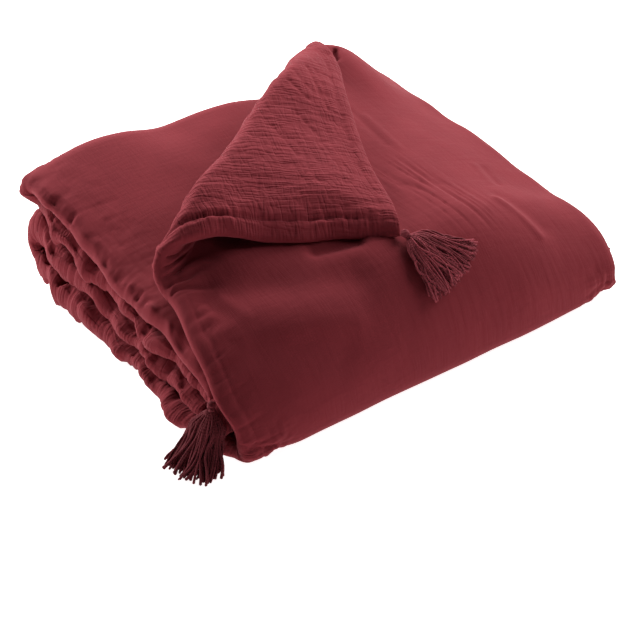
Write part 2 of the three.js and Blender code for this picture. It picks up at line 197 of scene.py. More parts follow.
@dataclass(frozen=True)
class Fold:
    """One straight stretch or turn of the folded cloth's middle line, seen from the side."""

    name: str
    length: float
    step: float
    turn: float = 0.0
    turned_corner: bool = False

    @property
    def radius(self) -> float:
        """Signed radius of the turn."""
        return self.length / self.turn

    def place(self, start: Triple, distance: Array) -> tuple[Array, Array, Array]:
        """Where the line is after a distance along this fold.

        A straight adds (cos h, sin h) * distance. A turn adds r (sin h' - sin h, cos h - cos h'),
        where h' is the heading after the share of the turn, and r the signed radius.

        Args:
            start: Y, Z and heading where the fold starts.
            distance: distances along it.

        Returns:
            Y, Z and heading.
        """
        y, z, heading = start
        if not self.turn:
            along_y, along_z = math.cos(heading) * distance, math.sin(heading) * distance
            return y + along_y, z + along_z, heading + 0 * distance
        turned = heading + self.turn * distance / self.length
        return (
            y + self.radius * (np.sin(turned) - math.sin(heading)),
            z - self.radius * (np.cos(turned) - math.cos(heading)),
            turned,
        )


@dataclass
class FoldedLine:
    """The middle line of the cloth's thickness, folded back and forth, from its inner end.

    The steps are the distances between the mesh's rows: where the cloth is seen from above, on the
    crushed folds, inside the pile and underneath it.
    """

    thickness: float = 24.0
    pitch: float = 27.0
    plies: int = 5
    front: float = -212.0
    back: float = 204.0
    foot_radius: float = 14.0
    front_roll: float = -150.0
    inner_end: float = -154.0
    droop_turn: float = 0.5
    droop_radius: float = 75.0
    outer_end: float = 219.0
    turned_from: float = -92.0
    seen_step: float = 1.8
    crushed_step: float = 2.5
    inside_step: float = 3.2
    under_step: float = 4.0
    folds: list[Fold] = field(init=False)
    starts: list[Triple] = field(init=False)
    distances: Array = field(init=False)

    def __post_init__(self) -> None:
        """Lays the folds end to end."""
        half = self.thickness / 2
        lobe = self.pitch / 2
        back_turn = self.back - half - lobe
        foot_turn = self.front + half + self.foot_radius
        reach = self.droop_radius * math.sin(self.droop_turn)
        fall = self.droop_radius * (1 - math.cos(self.droop_turn))
        half_round, quarter = math.pi, math.pi / 2
        seen, crushed, inside = self.seen_step, self.crushed_step, self.inside_step
        self.folds = [
            Fold("inner end droop", self.droop_radius * self.droop_turn, crushed, -self.droop_turn),
            Fold("inner end ply", back_turn - self.inner_end - reach, crushed),
            Fold("upper back lobe", lobe * half_round, crushed, -half_round),
            Fold("third ply", back_turn - self.front_roll, inside),
            Fold("front roll", lobe * half_round, crushed, half_round),
            Fold("second ply", back_turn - self.front_roll, inside),
            Fold("lower back lobe", lobe * half_round, crushed, -half_round),
            Fold("bottom ply", back_turn - foot_turn, self.under_step),
            Fold("wrap foot", self.foot_radius * quarter, seen, -quarter),
            Fold("wrap brow", self.brow_radius * quarter, seen, -quarter),
            Fold("top ply, front", self.turned_from - self.brow, seen),
            Fold("top ply, back", self.outer_end - self.turned_from, seen, turned_corner=True),
        ]
        at = (self.inner_end, half + self.pitch * (self.plies - 2) - fall, self.droop_turn)
        self.starts, edges = [], [0.0]
        for fold in self.folds:
            self.starts.append(at)
            at = tuple(float(part) for part in fold.place(at, np.float64(fold.length)))
            edges.append(edges[-1] + fold.length)
        self.distances = np.array(edges)

    @property
    def brow_radius(self) -> float:
        """Radius of the middle line where the wrap turns onto the top."""
        return self.pitch * (self.plies - 1) - self.foot_radius

    @property
    def brow(self) -> float:
        """Y where the wrap has turned level."""
        return self.front + self.thickness / 2 + self.brow_radius

    @property
    def top(self) -> float:
        """Height of the top ply's middle line."""
        return self.pitch * (self.plies - 1) + self.thickness / 2

    @property
    def length(self) -> float:
        """Length of the whole cloth."""
        return float(self.distances[-1])

    def start_of(self, name: str) -> float:
        """Distance along the cloth where a fold starts."""
        return float(self.distances[[fold.name for fold in self.folds].index(name)])

    def read(self, s: Array) -> tuple[Array, Array, Array, Array, Array]:
        """Place of the middle line at distances along it.

        Args:
            s: distances, shape (n,).

        Returns:
            Y, Z and heading, whether the turned corner's mapping applies, and whether the
            stretch is the bottom ply.
        """
        y, z, heading = np.zeros_like(s), np.zeros_like(s), np.zeros_like(s)
        turned, bottom = np.zeros(s.shape, bool), np.zeros(s.shape, bool)
        index = np.searchsorted(self.distances, s, side="left") - 1
        index = np.clip(index, 0, len(self.folds) - 1)
        for number, fold in enumerate(self.folds):
            here = index == number
            distance = s[here] - self.distances[number]
            y[here], z[here], heading[here] = fold.place(self.starts[number], distance)
            turned[here] = fold.turned_corner
            bottom[here] = fold.name == "bottom ply"
        return y, z, heading, turned, bottom

    def stations(self, edge: Array) -> Array:
        """Distances of the mesh's rows: close together at both end hems, then each fold's step.

        Args:
            edge: distances of the rows from a hem, increasing from 0.

        Returns:
            Distances along the cloth, increasing.
        """
        rows = []
        for fold, start in zip(self.folds, self.distances):
            count = max(1, round(fold.length / fold.step))
            rows.append(start + np.arange(count) * fold.length / count)
        inside = np.concatenate(rows)
        inside = inside[(inside > edge[-1]) & (inside < self.length - edge[-1])]
        return np.concatenate([edge, inside, (self.length - edge)[::-1]])

    def over_brow(self, y: Array, z: Array, on_top: float) -> tuple[Array, Array]:
        """Bends what lies in front of the brow down round the wrap's centre.

        A point goes to the angle (brow - y) / r and keeps its height over the centre, where r is
        the wrap's radius plus what lies on top of it.

        Args:
            y: Y on the level ply.
            z: height on the level ply.
            on_top: how far the bent cloth lies over the wrap's middle line.

        Returns:
            Y and Z.
        """
        centre = self.top - self.brow_radius
        angle = (self.brow - y) / (self.brow_radius + on_top)
        front = y < self.brow
        bent_y = self.brow - (z - centre) * np.sin(angle)
        bent_z = centre + (z - centre) * np.cos(angle)
        return np.where(front, bent_y, y), np.where(front, bent_z, z)


@dataclass
class TurnedCorner:
    """The upper ply's left corner, rolled over a slanting fold line and laid back on the pile.

    The fold line starts at the left hem and bows a little. Along it the roll is round at first, is
    then pressed flatter, and opens again at the back, where the cloth rises to a rounded tip.
    """

    origin: Pair = (-250.0, -82.0)
    angle: float = math.radians(34.5)
    radius_at_hem: float = 18.0
    radius_at_tip: float = 22.0
    length: float = 520.0
    settle: float = 120.0
    lift: float = 25.0
    bow: float = 5.0
    bow_until: float = 250.0
    bow_back: float = 8.0
    bow_over: float = 200.0
    rise: float = 31.0
    rise_at: Pair = (178.0, 216.0)
    rise_width: Triple = (38.0, 44.0, 80.0)
    flattened: float = 0.46
    flattened_over: Pair = (10.0, 90.0)
    open_at_tip: float = 1.25
    open_over: Pair = (350.0, 445.0)

    def along(self, x: Array, y: Array) -> Array:
        """Distance along the straight fold line: dx cos a + dy sin a."""
        from_x, from_y = x - self.origin[0], y - self.origin[1]
        return from_x * math.cos(self.angle) + from_y * math.sin(self.angle)

    def across(self, x: Array, y: Array) -> Array:
        """Distance past the straight fold line, negative before it: dy cos a - dx sin a."""
        from_x, from_y = x - self.origin[0], y - self.origin[1]
        return from_y * math.cos(self.angle) - from_x * math.sin(self.angle)

    def spot(self, along: Array, across: Array) -> tuple[Array, Array]:
        """A place by its distances along and across the straight fold line.

        Args:
            along: distance along the fold line.
            across: distance past it.

        Returns:
            X and Y.
        """
        x = self.origin[0] + math.cos(self.angle) * along - math.sin(self.angle) * across
        y = self.origin[1] + math.sin(self.angle) * along + math.cos(self.angle) * across
        return x, y

    def bow_at(self, along: Array) -> Array:
        """How far the fold line bows: out * sin(pi t)^2, less a smooth return beyond the bow.

        Args:
            along: distance along the straight fold line.

        Returns:
            Distance past the straight fold line.
        """
        t = np.clip(along / self.bow_until, 0, 1)
        back = self.bow_back * smooth((along - self.bow_until) / self.bow_over)
        return self.bow * np.sin(math.pi * t) ** 2 - back

    def tip_rise(self, x: Array, y: Array) -> Array:
        """How far the cloth is pushed up near the tip.

        A bell in X, wider on one side, times one in Y.

        Args:
            x: X of the points.
            y: Y of the points.

        Returns:
            Rise in mm.
        """
        left, right, behind = self.rise_width
        from_peak = x - self.rise_at[0]
        sideways = bell(from_peak / np.where(from_peak < 0, left, right))
        return self.rise * sideways * bell((y - self.rise_at[1]) / behind)

    def turn(self, along: Array, across: Array) -> tuple[Array, Array, Array]:
        """Maps the distance across the fold line to a half-round roll and the flap behind it.

        On the roll the reach is f r sin a and the rise r (1 - cos a), where a is the distance over
        the radius r, and f is 1 at the hem and less where the fold is pressed flatter. Beyond pi r
        the flap runs straight back and sinks smoothly from 2 r to its lift.

        Args:
            along: distance along the fold line.
            across: distance past it, negative before it.

        Returns:
            Reach across the fold line, rise, and the angle by which the cloth has turned.
        """
        radius = lerp(self.radius_at_hem, self.radius_at_tip, along / self.length)
        arc = math.pi * radius
        on_roll = np.clip(across / radius, 0, math.pi)
        past = np.maximum(across - arc, 0)
        t = np.minimum(past / self.settle, 1)
        drop = 2 * radius - self.lift
        sink = np.arctan(drop * 6 * t * (1 - t) / self.settle)
        flap = across >= arc
        pressed = lerp(1, self.flattened, ramp(along, *self.flattened_over))
        open_roll = lerp(pressed, self.open_at_tip, ramp(along, *self.open_over)) * radius
        rolled = np.where(across > 0, open_roll * np.sin(on_roll), across)
        reach = np.where(flap, -past, rolled)
        rise = np.where(flap, 2 * radius - drop * smooth(t), radius * (1 - np.cos(on_roll)))
        return reach, rise, np.where(flap, math.pi + sink, on_roll)


@dataclass
class Pile:
    """How the whole pile settles: its height at stations, its slack plies and its rounded corner.

    Each row of heights is one Y station, from the front to the back. The hollow is in the back
    edge, the slack opens the plies at the back left, and the pull rounds the front right corner.
    """

    nominal_top: float = 132.0
    x_stations: Curve = (-250, -150, 0, 100, 250)
    y_stations: Curve = (-205, -140, -60, 40, 130, 200)
    heights: tuple[Curve, ...] = (
        (66, 100, 116, 110, 67),
        (94, 119, 128, 122, 71),
        (120, 134, 133, 127, 73),
        (136, 154, 146, 134, 82),
        (150, 164, 170, 143, 83),
        (153, 175, 180, 148, 82),
    )
    hollow_at: Pair = (-82.0, 200.0)
    hollow_width: Pair = (38.0, 55.0)
    hollow: float = 11.0
    slack: float = 0.75
    slack_x: Pair = (0.0, -220.0)
    slack_y: Pair = (0.0, 190.0)
    pull: float = 10.0
    pull_x: Pair = (85.0, 250.0)
    pull_y: Pair = (-40.0, -190.0)

    def height(self, x: Array, y: Array) -> Array:
        """Height of the pile's top: curves through the stations in X, then in Y, less a hollow.

        Args:
            x: X of the points.
            y: Y of the points.

        Returns:
            Height in mm.
        """
        rows = np.stack([curve_through(self.x_stations, row, x) for row in self.heights])
        hollow = bell((x - self.hollow_at[0]) / self.hollow_width[0])
        hollow = hollow * bell((y - self.hollow_at[1]) / self.hollow_width[1])
        return curve_through(self.y_stations, rows, y) - self.hollow * hollow

    def settle(self, x: Array, y: Array, z: Array) -> Array:
        """Moves a point of the even pile to where it lies in the settled one.

        The height becomes H (k + slack k (1 - k)), with k the share of the even pile's height and
        H the settled height there. The front right corner moves back.

        Args:
            x: X in the even pile.
            y: Y in the even pile.
            z: height in the even pile.

        Returns:
            Points, with X, Y and Z on the last axis.
        """
        height = self.height(x, y)
        share = z / self.nominal_top
        loose = self.slack * ramp(x, *self.slack_x) * ramp(y, *self.slack_y)
        settled = height * (share + loose * share * (1 - share))
        new_z = np.where(share <= 1, settled, height + z - self.nominal_top)
        new_y = y + self.pull * ramp(x, *self.pull_x) * ramp(y, *self.pull_y)
        return np.stack([x, new_y, np.maximum(new_z, 0)], axis=-1)


@dataclass(frozen=True)
class HemWave:
    """One wave of a side hem, in and out and up and down, along the cloth."""

    side: int
    out: float
    out_wave: float
    out_phase: float
    lift: float
    lift_wave: float
    lift_phase: float


@dataclass(frozen=True)
class HemBulge:
    """A place where the plies of one side push out of the pile."""

    side: int
    y: float
    width_y: float
    z: float
    width_z: float
    out: float


@dataclass
class SideHems:
    """How the side hems wander out of the pile and up or down, fading inwards over their reach.

    They wander less on the wrap. Inside the pile they are crushed as well: lumps of filling push
    them out and up, and the creases that run square to them draw them in. The ply of the inner end
    lies straighter, under the top ply.
    """

    reach: float = 60.0
    wrap_share: float = 0.45
    left_out: float = 0.5
    right_out: float = -4.0
    lump_out: float = 2.4
    lump_out_size: float = 17.0
    lump_up: float = 2.8
    lump_up_size: float = 19.0
    drawn_in: float = 3.6
    upper_out_share: float = 0.42
    upper_up_share: float = 0.3
    upper_over: float = 40.0
    waves: tuple[HemWave, ...] = (
        HemWave(-1, 4.0, 143, 0.6, 3.0, 97, 1.1),
        HemWave(-1, 2.5, 61, 2.1, 1.4, 55, 3.9),
        HemWave(1, 2.0, 151, 2.4, 3.0, 89, 0.2),
        HemWave(1, 1.0, 67, 0.3, 1.4, 59, 2.2),
    )
    bulges: tuple[HemBulge, ...] = (
        HemBulge(-1, -95, 50, 12, 26, 12),
        HemBulge(-1, 195, 55, 80, 30, 9),
        HemBulge(-1, 190, 60, 26, 24, 2),
        HemBulge(-1, 70, 45, 12, 26, 7),
        HemBulge(-1, -100, 35, 10, 26, 10),
        HemBulge(-1, 190, 30, 66, 9, -10),
        HemBulge(1, -165, 45, 98, 30, 6),
        HemBulge(1, -208, 20, 48, 18, -4),
    )

    def waved(self, s: Array, side: Array, share: Array) -> tuple[Array, Array]:
        """Sums of the sine waves on each side, times a share.

        Args:
            s: distance along the cloth.
            side: -1 on the left and 1 on the right.
            share: how much of the waves is left there.

        Returns:
            How far the hem goes out and up.
        """
        out, lift = 0.0, 0.0
        for wave in self.waves:
            here = (side == wave.side) * share
            out_turn = 2 * math.pi * s / wave.out_wave + wave.out_phase
            lift_turn = 2 * math.pi * s / wave.lift_wave + wave.lift_phase
            out = out + here * wave.out * np.sin(out_turn)
            lift = lift + here * wave.lift * np.sin(lift_turn)
        return out, lift

    def bulged(self, side: Array, y: Array, z: Array) -> Array:
        """Sum of the bulges on each side: out * bell in Y * bell in Z.

        Args:
            side: -1 on the left and 1 on the right.
            y: Y of the middle line.
            z: height of the middle line.

        Returns:
            How far the hem goes out.
        """
        out = 0.0
        for bulge in self.bulges:
            near = bell((y - bulge.y) / bulge.width_y) * bell((z - bulge.z) / bulge.width_z)
            out = out + (side == bulge.side) * bulge.out * near
        return out

    def crushed(self, s: Array, side: Array, from_side: Array, lines: Array) -> tuple[Array, Array]:
        """What lumps of filling and creases do to a hem inside the pile.

        Args:
            s: distance along the cloth.
            side: -1 on the left and 1 on the right.
            from_side: distance from the hem.
            lines: depth of the creases that run square to the hem, from -1 to 0.

        Returns:
            How far the hem goes out and up.
        """
        # Each side reads its own row of the noise
        lumps = self.lump_out * lattice_noise(s / self.lump_out_size, side * 7.5, 11)
        out = lumps + self.drawn_in * lines + np.where(side < 0, self.left_out, self.right_out)
        up = self.lump_up * lattice_noise(s / self.lump_up_size, side * 3.5 + from_side / 50, 12)
        return out, up


@dataclass
class FlapHem:
    """How the top ply's left hem lies, from where its corner starts to curl over to the tassel.

    Each tuple is a smooth curve along the hem, through the stations' distances past the fold line.
    The curl is drawn one way, and then the flap's hem is pulled back square to itself. Its edge
    droops onto the ply below, and its padding is thinner.
    """

    stations: Curve = (-80, -40, 0, 24, 69, 83, 105, 129, 149, 174, 224, 274, 301)
    curl: Curve = (0, 0.3, 0.8, 1, 1.05, 1, 0.75, 0.4, 0.15, 0, 0, 0, 0)
    curl_way: Triple = (16.0, 22.0, 8.0)
    pull: Curve = (0, 0, 0, 0, 0, 2, 7, 15, 22, 24.5, 24, 17, 8)
    lifted: Curve = (0, 0, 0, 0, 0, 1, 3, 4, 3.5, 2, 1, 0, 0)
    droop: Curve = (0, 0, 0, 0, 0, 1, 4, 7, 7, 7.5, 11.5, 12, 7)
    loft: Curve = (0.9, 0.9, 0.9, 0.9, 0.9, 0.9, 0.9, 0.88, 0.86, 0.82, 0.7, 0.62, 0.6)
    edge: float = 15.0
    reach: float = 130.0

    def shift(self, past: Array, square: Array) -> Array:
        """How far the hem itself moves.

        Args:
            past: distance past the fold line, along the hem.
            square: unit vector square to the flap's hem, level with the pile.

        Returns:
            X, Y and Z of the move on the last axis.
        """
        curl = curve_through(self.stations, self.curl, past)[..., None] * np.array(self.curl_way)
        up = curve_through(self.stations, self.lifted, past)[..., None] * np.array([0.0, 0.0, 1.0])
        return curl + up + curve_through(self.stations, self.pull, past)[..., None] * square


@dataclass
class FlapBelly:
    """The flap's padding, which stands up inside its hem and sinks again towards its middle."""

    height: float = 6.0
    up: Pair = (10.0, 56.0)
    down: Pair = (70.0, 200.0)
    past_fold: Pair = (85.0, 175.0)
    end_reach: float = 60.0

    def at(self, from_hem: Array, past_fold: Array, from_end: Array) -> Array:
        """Height of the padding: a smooth hill from the hem, times a ramp from each other edge.

        Args:
            from_hem: distance from the left hem.
            past_fold: distance past the fold line.
            from_end: distance from the outer end's hem.

        Returns:
            Height in mm.
        """
        across = ramp(from_hem, *self.up) * (1 - ramp(from_hem, *self.down))
        inside = ramp(past_fold, *self.past_fold) * smooth(from_end / self.end_reach)
        return self.height * across * inside


@dataclass(frozen=True)
class Dent:
    """A ridge or a hollow of the top ply, along a line from one point to another.

    Points are (distance across the width, distance behind the brow). A negative height is a hollow.
    """

    start: Pair
    end: Pair
    width: float
    height: float

    def at(self, u: Array, behind: Array) -> Array:
        """Height of the dent: height * bell(distance from the line / width).

        Args:
            u: distance across the width.
            behind: distance behind the brow.

        Returns:
            Height in mm, negative in a hollow.
        """
        run = np.subtract(self.end, self.start)
        from_u, from_behind = u - self.start[0], behind - self.start[1]
        t = np.clip((from_u * run[0] + from_behind * run[1]) / float(run @ run), 0, 1)
        gap = np.hypot(from_u - t * run[0], from_behind - t * run[1])
        return self.height * bell(gap / self.width)


@dataclass(frozen=True)
class CreaseFan:
    """Creases that run in from the hem where it curls over, out of a point beyond the hem."""

    outside: float = 70.0
    past_fold: float = 14.0
    apart: float = math.radians(8)
    wobble: float = 1.5
    low_angle: Pair = (-0.25, -0.10)
    high_angle: Pair = (0.42, 0.57)
    faded: Pair = (92.0, 140.0)

    def depth(self, from_hem: Array, past_start: Array) -> Array:
        """How far the creases cut in.

        With r the distance from the point and a the angle, the depth is
        ((1 + cos(k a + wobble)) / 2)^2, with k for one crease in 8 degrees.

        Args:
            from_hem: distance in from the left hem.
            past_start: distance along the hem past the fold line.

        Returns:
            0 between the creases, down to -1 in one.
        """
        from_x, from_y = from_hem + self.outside, past_start - self.past_fold
        r = np.hypot(from_x, from_y)
        angle = np.arctan2(from_y, from_x)
        wobble = self.wobble * lattice_noise(r / 30, angle * 6, 31)
        wave = (0.5 + 0.5 * np.cos(angle * 2 * math.pi / self.apart + wobble)) ** 2
        sector = ramp(angle, *self.low_angle) * (1 - ramp(angle, *self.high_angle))
        return -(1 - ramp(r, *self.faded)) * sector * wave


@dataclass
class GauzeRelief:
    """What the sewing and the crinkled gauze do to the cloth's faces, in mm out of the face.

    The fields come in four groups: the hem's seam, the crushed hems inside the pile, the crinkles
    of the shown faces, and the marks that the top ply and the flap have in single places. A pair
    of crinkle sizes is what a crinkle has everywhere and what it gains where the cloth is worked
    most.
    """

    seam: float = 15.5
    groove_deep: float = 4.2
    groove_width: float = 2.1
    sunk_deep: float = 1.3
    sunk_width: float = 7.0
    pucker: Creases = Creases(60.0, 11.0, 3.0)
    pucker_from: float = 6.0
    pucker_past_seam: float = 26.0

    wide_crush: Creases = Creases(50.0, 19.0, 3.4, 51)
    short_crush: Creases = Creases(18.0, 8.5, 2.4, 52)
    long_crush: Creases = Creases(30.0, 9.0, 2.6, 2)
    wide_share: float = 0.62
    crushed: Pair = (28.0, 73.0)
    lump: float = 3.0
    lump_size: Pair = (14.0, 17.0)
    lump_level: float = 2.2
    crush_across: float = 7.5
    crush_along: float = 3.0

    lengthwise: Creases = Creases(58.0, 8.5, 2.0, 20)
    crosswise: Creases = Creases(40.0, 9.5, 2.0, 60)
    inner_puckers: float = 1.5
    inner_end_seam: float = 0.25
    inner_seam_calmed: float = 0.5
    inner_seam_calm: Pair = (275.0, 310.0)
    inner_lengthwise: Pair = (0.5, 1.1)
    inner_ridge_at: float = 20.0
    inner_ridge_width: float = 45.0
    inner_crosswise: Pair = (0.35, 0.9)
    inner_crosswise_reach: float = 80.0
    inner_fan: float = 1.5
    outer_puckers: float = 2.0
    outer_seam: float = 0.22
    outer_seam_until: float = 35.0
    outer_lengthwise: Pair = (0.12, 0.34)
    low_front_behind: Pair = (-60.0, -100.0)
    low_front_u: Pair = (-120.0, 40.0)
    outer_crosswise: float = 0.2
    outer_fan: float = 4.6
    fan: CreaseFan = CreaseFan()

    bundle: Creases = Creases(95.0, 6.8, 2.6, 301)
    bundle_deep: float = 2.5
    bundle_slant: float = 0.09
    bundle_behind: tuple[Pair, Pair] = ((-48.0, -8.0), (55.0, 120.0))
    bundle_at: float = 92.0
    bundle_width: float = 32.0
    corner_hem: Creases = Creases(16.0, 8.0, 2.2, 305)
    corner_hem_deep: float = 2.6
    corner_hem_at: Pair = (-228.0, -12.0)
    corner_hem_width: Pair = (15.0, 22.0)
    dents: tuple[Dent, ...] = (
        Dent((149, -2), (163, -54), 6.0, 2.2),
        Dent((158, 8), (174, -46), 9.0, -1.8),
        Dent((191, 73), (181, 36), 4.5, -1.4),
        Dent((184, 76), (172, 40), 5.0, 0.9),
        Dent((200, 52), (196, 40), 26.0, -3.0),
        Dent((178, -26), (186, -44), 20.0, -2.6),
        Dent((-218, 10), (-206, -6), 10.0, -2.4),
        Dent((-200, 2), (-190, -18), 8.0, 1.6),
        Dent((-190, -44), (-120, -84), 22.0, -4.0),
        Dent((108, 205), (100, 130), 5.0, -1.0),
        Dent((118, 190), (112, 120), 5.0, 0.8),
        Dent((-232, 60), (-185, 56), 15.0, -4.0),
        Dent((164, 309), (158, 296), 3.4, -6.0),
        Dent((-200, 19), (-70, -31), 23.0, -7.5),
        Dent((-200, -32), (-90, -68), 12.0, 2.2),
        Dent((-80, 14), (-38, 3), 9.0, -6.0),
    )
    flap_dents: tuple[Dent, ...] = (
        Dent((28, 287), (-45, 296), 2.0, -1.6),
        Dent((26, 295), (-36, 300), 1.9, -1.1),
        Dent((-8, 262), (-36, 278), 2.1, -1.3),
        Dent((14, 270), (-14, 280), 2.0, -1.0),
        Dent((-60, 262), (-92, 276), 2.2, -1.0),
        Dent((-84, 232), (-128, 246), 2.2, -1.1),
        Dent((84, 320), (78, 315), 2.4, -3.0),
    )

    def seam_pinch(self, from_hem: Array) -> Array:
        """Groove of the hem's seam: a narrow bell in a wide one, both at the seam's distance.

        Args:
            from_hem: distance from the hem.

        Returns:
            Relief in mm, negative in the groove.
        """
        from_seam = from_hem - self.seam
        groove = self.groove_deep * bell(from_seam / self.groove_width)
        return -(groove + self.sunk_deep * bell(from_seam / self.sunk_width))

    def puckers(self, s: Array, from_hem: Array, seed: int) -> Array:
        """Short creases square to the hem, deepest at its seam and gone at the edge and inside.

        Args:
            s: distance along the cloth.
            from_hem: distance from the hem.
            seed: picks the face's own noise.

        Returns:
            0 on a puff, down to -1 in a crease.
        """
        past_seam = smooth((from_hem - self.seam) / self.pucker_past_seam)
        window = smooth(from_hem / self.pucker_from) * (1 - past_seam)
        return window * self.pucker.depth(from_hem, s, seed)

    def crush_lines(self, s: Array, from_side: Array) -> Array:
        """Where the crushed hems inside the pile crease across: wide creases and short ones.

        Args:
            s: distance along the cloth.
            from_side: distance from the side hem, negative on the left.

        Returns:
            0 on a puff, down to -1 in a crease.
        """
        wide = self.wide_crush.depth(from_side, s)
        short = self.short_crush.depth(from_side, s)
        return self.wide_share * wide + (1 - self.wide_share) * short

    def crush(self, s: Array, from_side: Array, seed: int) -> Array:
        """Crushed hems inside the pile: lumps of filling, deep creases across, short ones along.

        Args:
            s: distance along the cloth.
            from_side: distance from the side hem, negative on the left.
            seed: picks the face's own noise.

        Returns:
            Relief in mm.
        """
        window = 1 - ramp(np.abs(from_side), *self.crushed)
        noise = lattice_noise(s / self.lump_size[0], from_side / self.lump_size[1], seed)
        lumps = self.lump * noise + self.lump_level
        across = self.crush_across * self.crush_lines(s, from_side)
        along = self.crush_along * self.long_crush.depth(s, from_side, seed)
        return window * (lumps + across + along)

    def inner_face(self, s: Array, u: Array, behind: Array, from_side: Array, from_end: Array,
                   seed: int) -> Array:
        """Relief of the inner face, which shows on the flap: seams, puckers and strong crinkles.

        Args:
            s: distance along the cloth.
            u: distance across it.
            behind: distance behind the brow.
            from_side: distance from the nearer side hem.
            from_end: distance from the nearer end hem.
            seed: picks the face's own noise.

        Returns:
            Relief in mm.
        """
        calmed = 1 - self.inner_seam_calmed * ramp(behind, *self.inner_seam_calm)
        seams = self.seam_pinch(from_side) * calmed
        seams = seams + self.inner_puckers * self.puckers(s, from_side, seed)
        seams = seams + self.inner_end_seam * self.seam_pinch(from_end)
        near_ridge = bell((from_side - self.inner_ridge_at) / self.inner_ridge_width)
        off_hem = smooth(from_side / self.inner_crosswise_reach)
        crinkles = self.lengthwise.depth(s, u, seed) * grown(self.inner_lengthwise, near_ridge)
        crosswise = self.crosswise.depth(u, s, seed) * grown(self.inner_crosswise, off_hem)
        dents = sum(dent.at(u, behind) for dent in self.flap_dents)
        return seams + crinkles + crosswise + dents

    def outer_face(self, s: Array, u: Array, behind: Array, from_side: Array, seed: int) -> Array:
        """Relief of the outer face: the left hem's puckers and seam, and shallow crinkles.

        Args:
            s: distance along the cloth.
            u: distance across it.
            behind: distance behind the brow.
            from_side: distance from the nearer side hem.
            seed: picks the face's own noise.

        Returns:
            Relief in mm.
        """
        low_front = ramp(behind, *self.low_front_behind) * ramp(u, *self.low_front_u)
        seam = self.outer_seam * self.seam_pinch(from_side)
        hem = self.outer_puckers * self.puckers(s, from_side, seed)
        hem = (hem + seam * (1 - smooth(behind / self.outer_seam_until))) * (u < 0)
        crinkles = grown(self.outer_lengthwise, low_front) * self.lengthwise.depth(s, u, seed)
        return hem + crinkles + self.outer_crosswise * self.crosswise.depth(u, s, seed)

    def top_marks(self, u: Array, behind: Array) -> Array:
        """Dents of the top ply, and the bundle of long soft creases beside the flap's tassel.

        The bundle leans over the ply and fades at both ends. Short creases mark the hem where the
        wrap turns onto the top.

        Args:
            u: distance across the cloth.
            behind: distance behind the brow.

        Returns:
            Relief in mm.
        """
        slant = u + self.bundle_slant * behind
        begins, ends = self.bundle_behind
        bundle = ramp(behind, *begins) * (1 - ramp(behind, *ends))
        bundle = bundle * bell((slant - self.bundle_at) / self.bundle_width)
        hem = bell((behind - self.corner_hem_at[1]) / self.corner_hem_width[1])
        hem = hem * bell((u - self.corner_hem_at[0]) / self.corner_hem_width[0])
        dents = sum(dent.at(u, behind) for dent in self.dents)
        creased = self.bundle_deep * bundle * self.bundle.depth(behind, slant)
        return dents + creased + self.corner_hem_deep * hem * self.corner_hem.depth(u, behind)


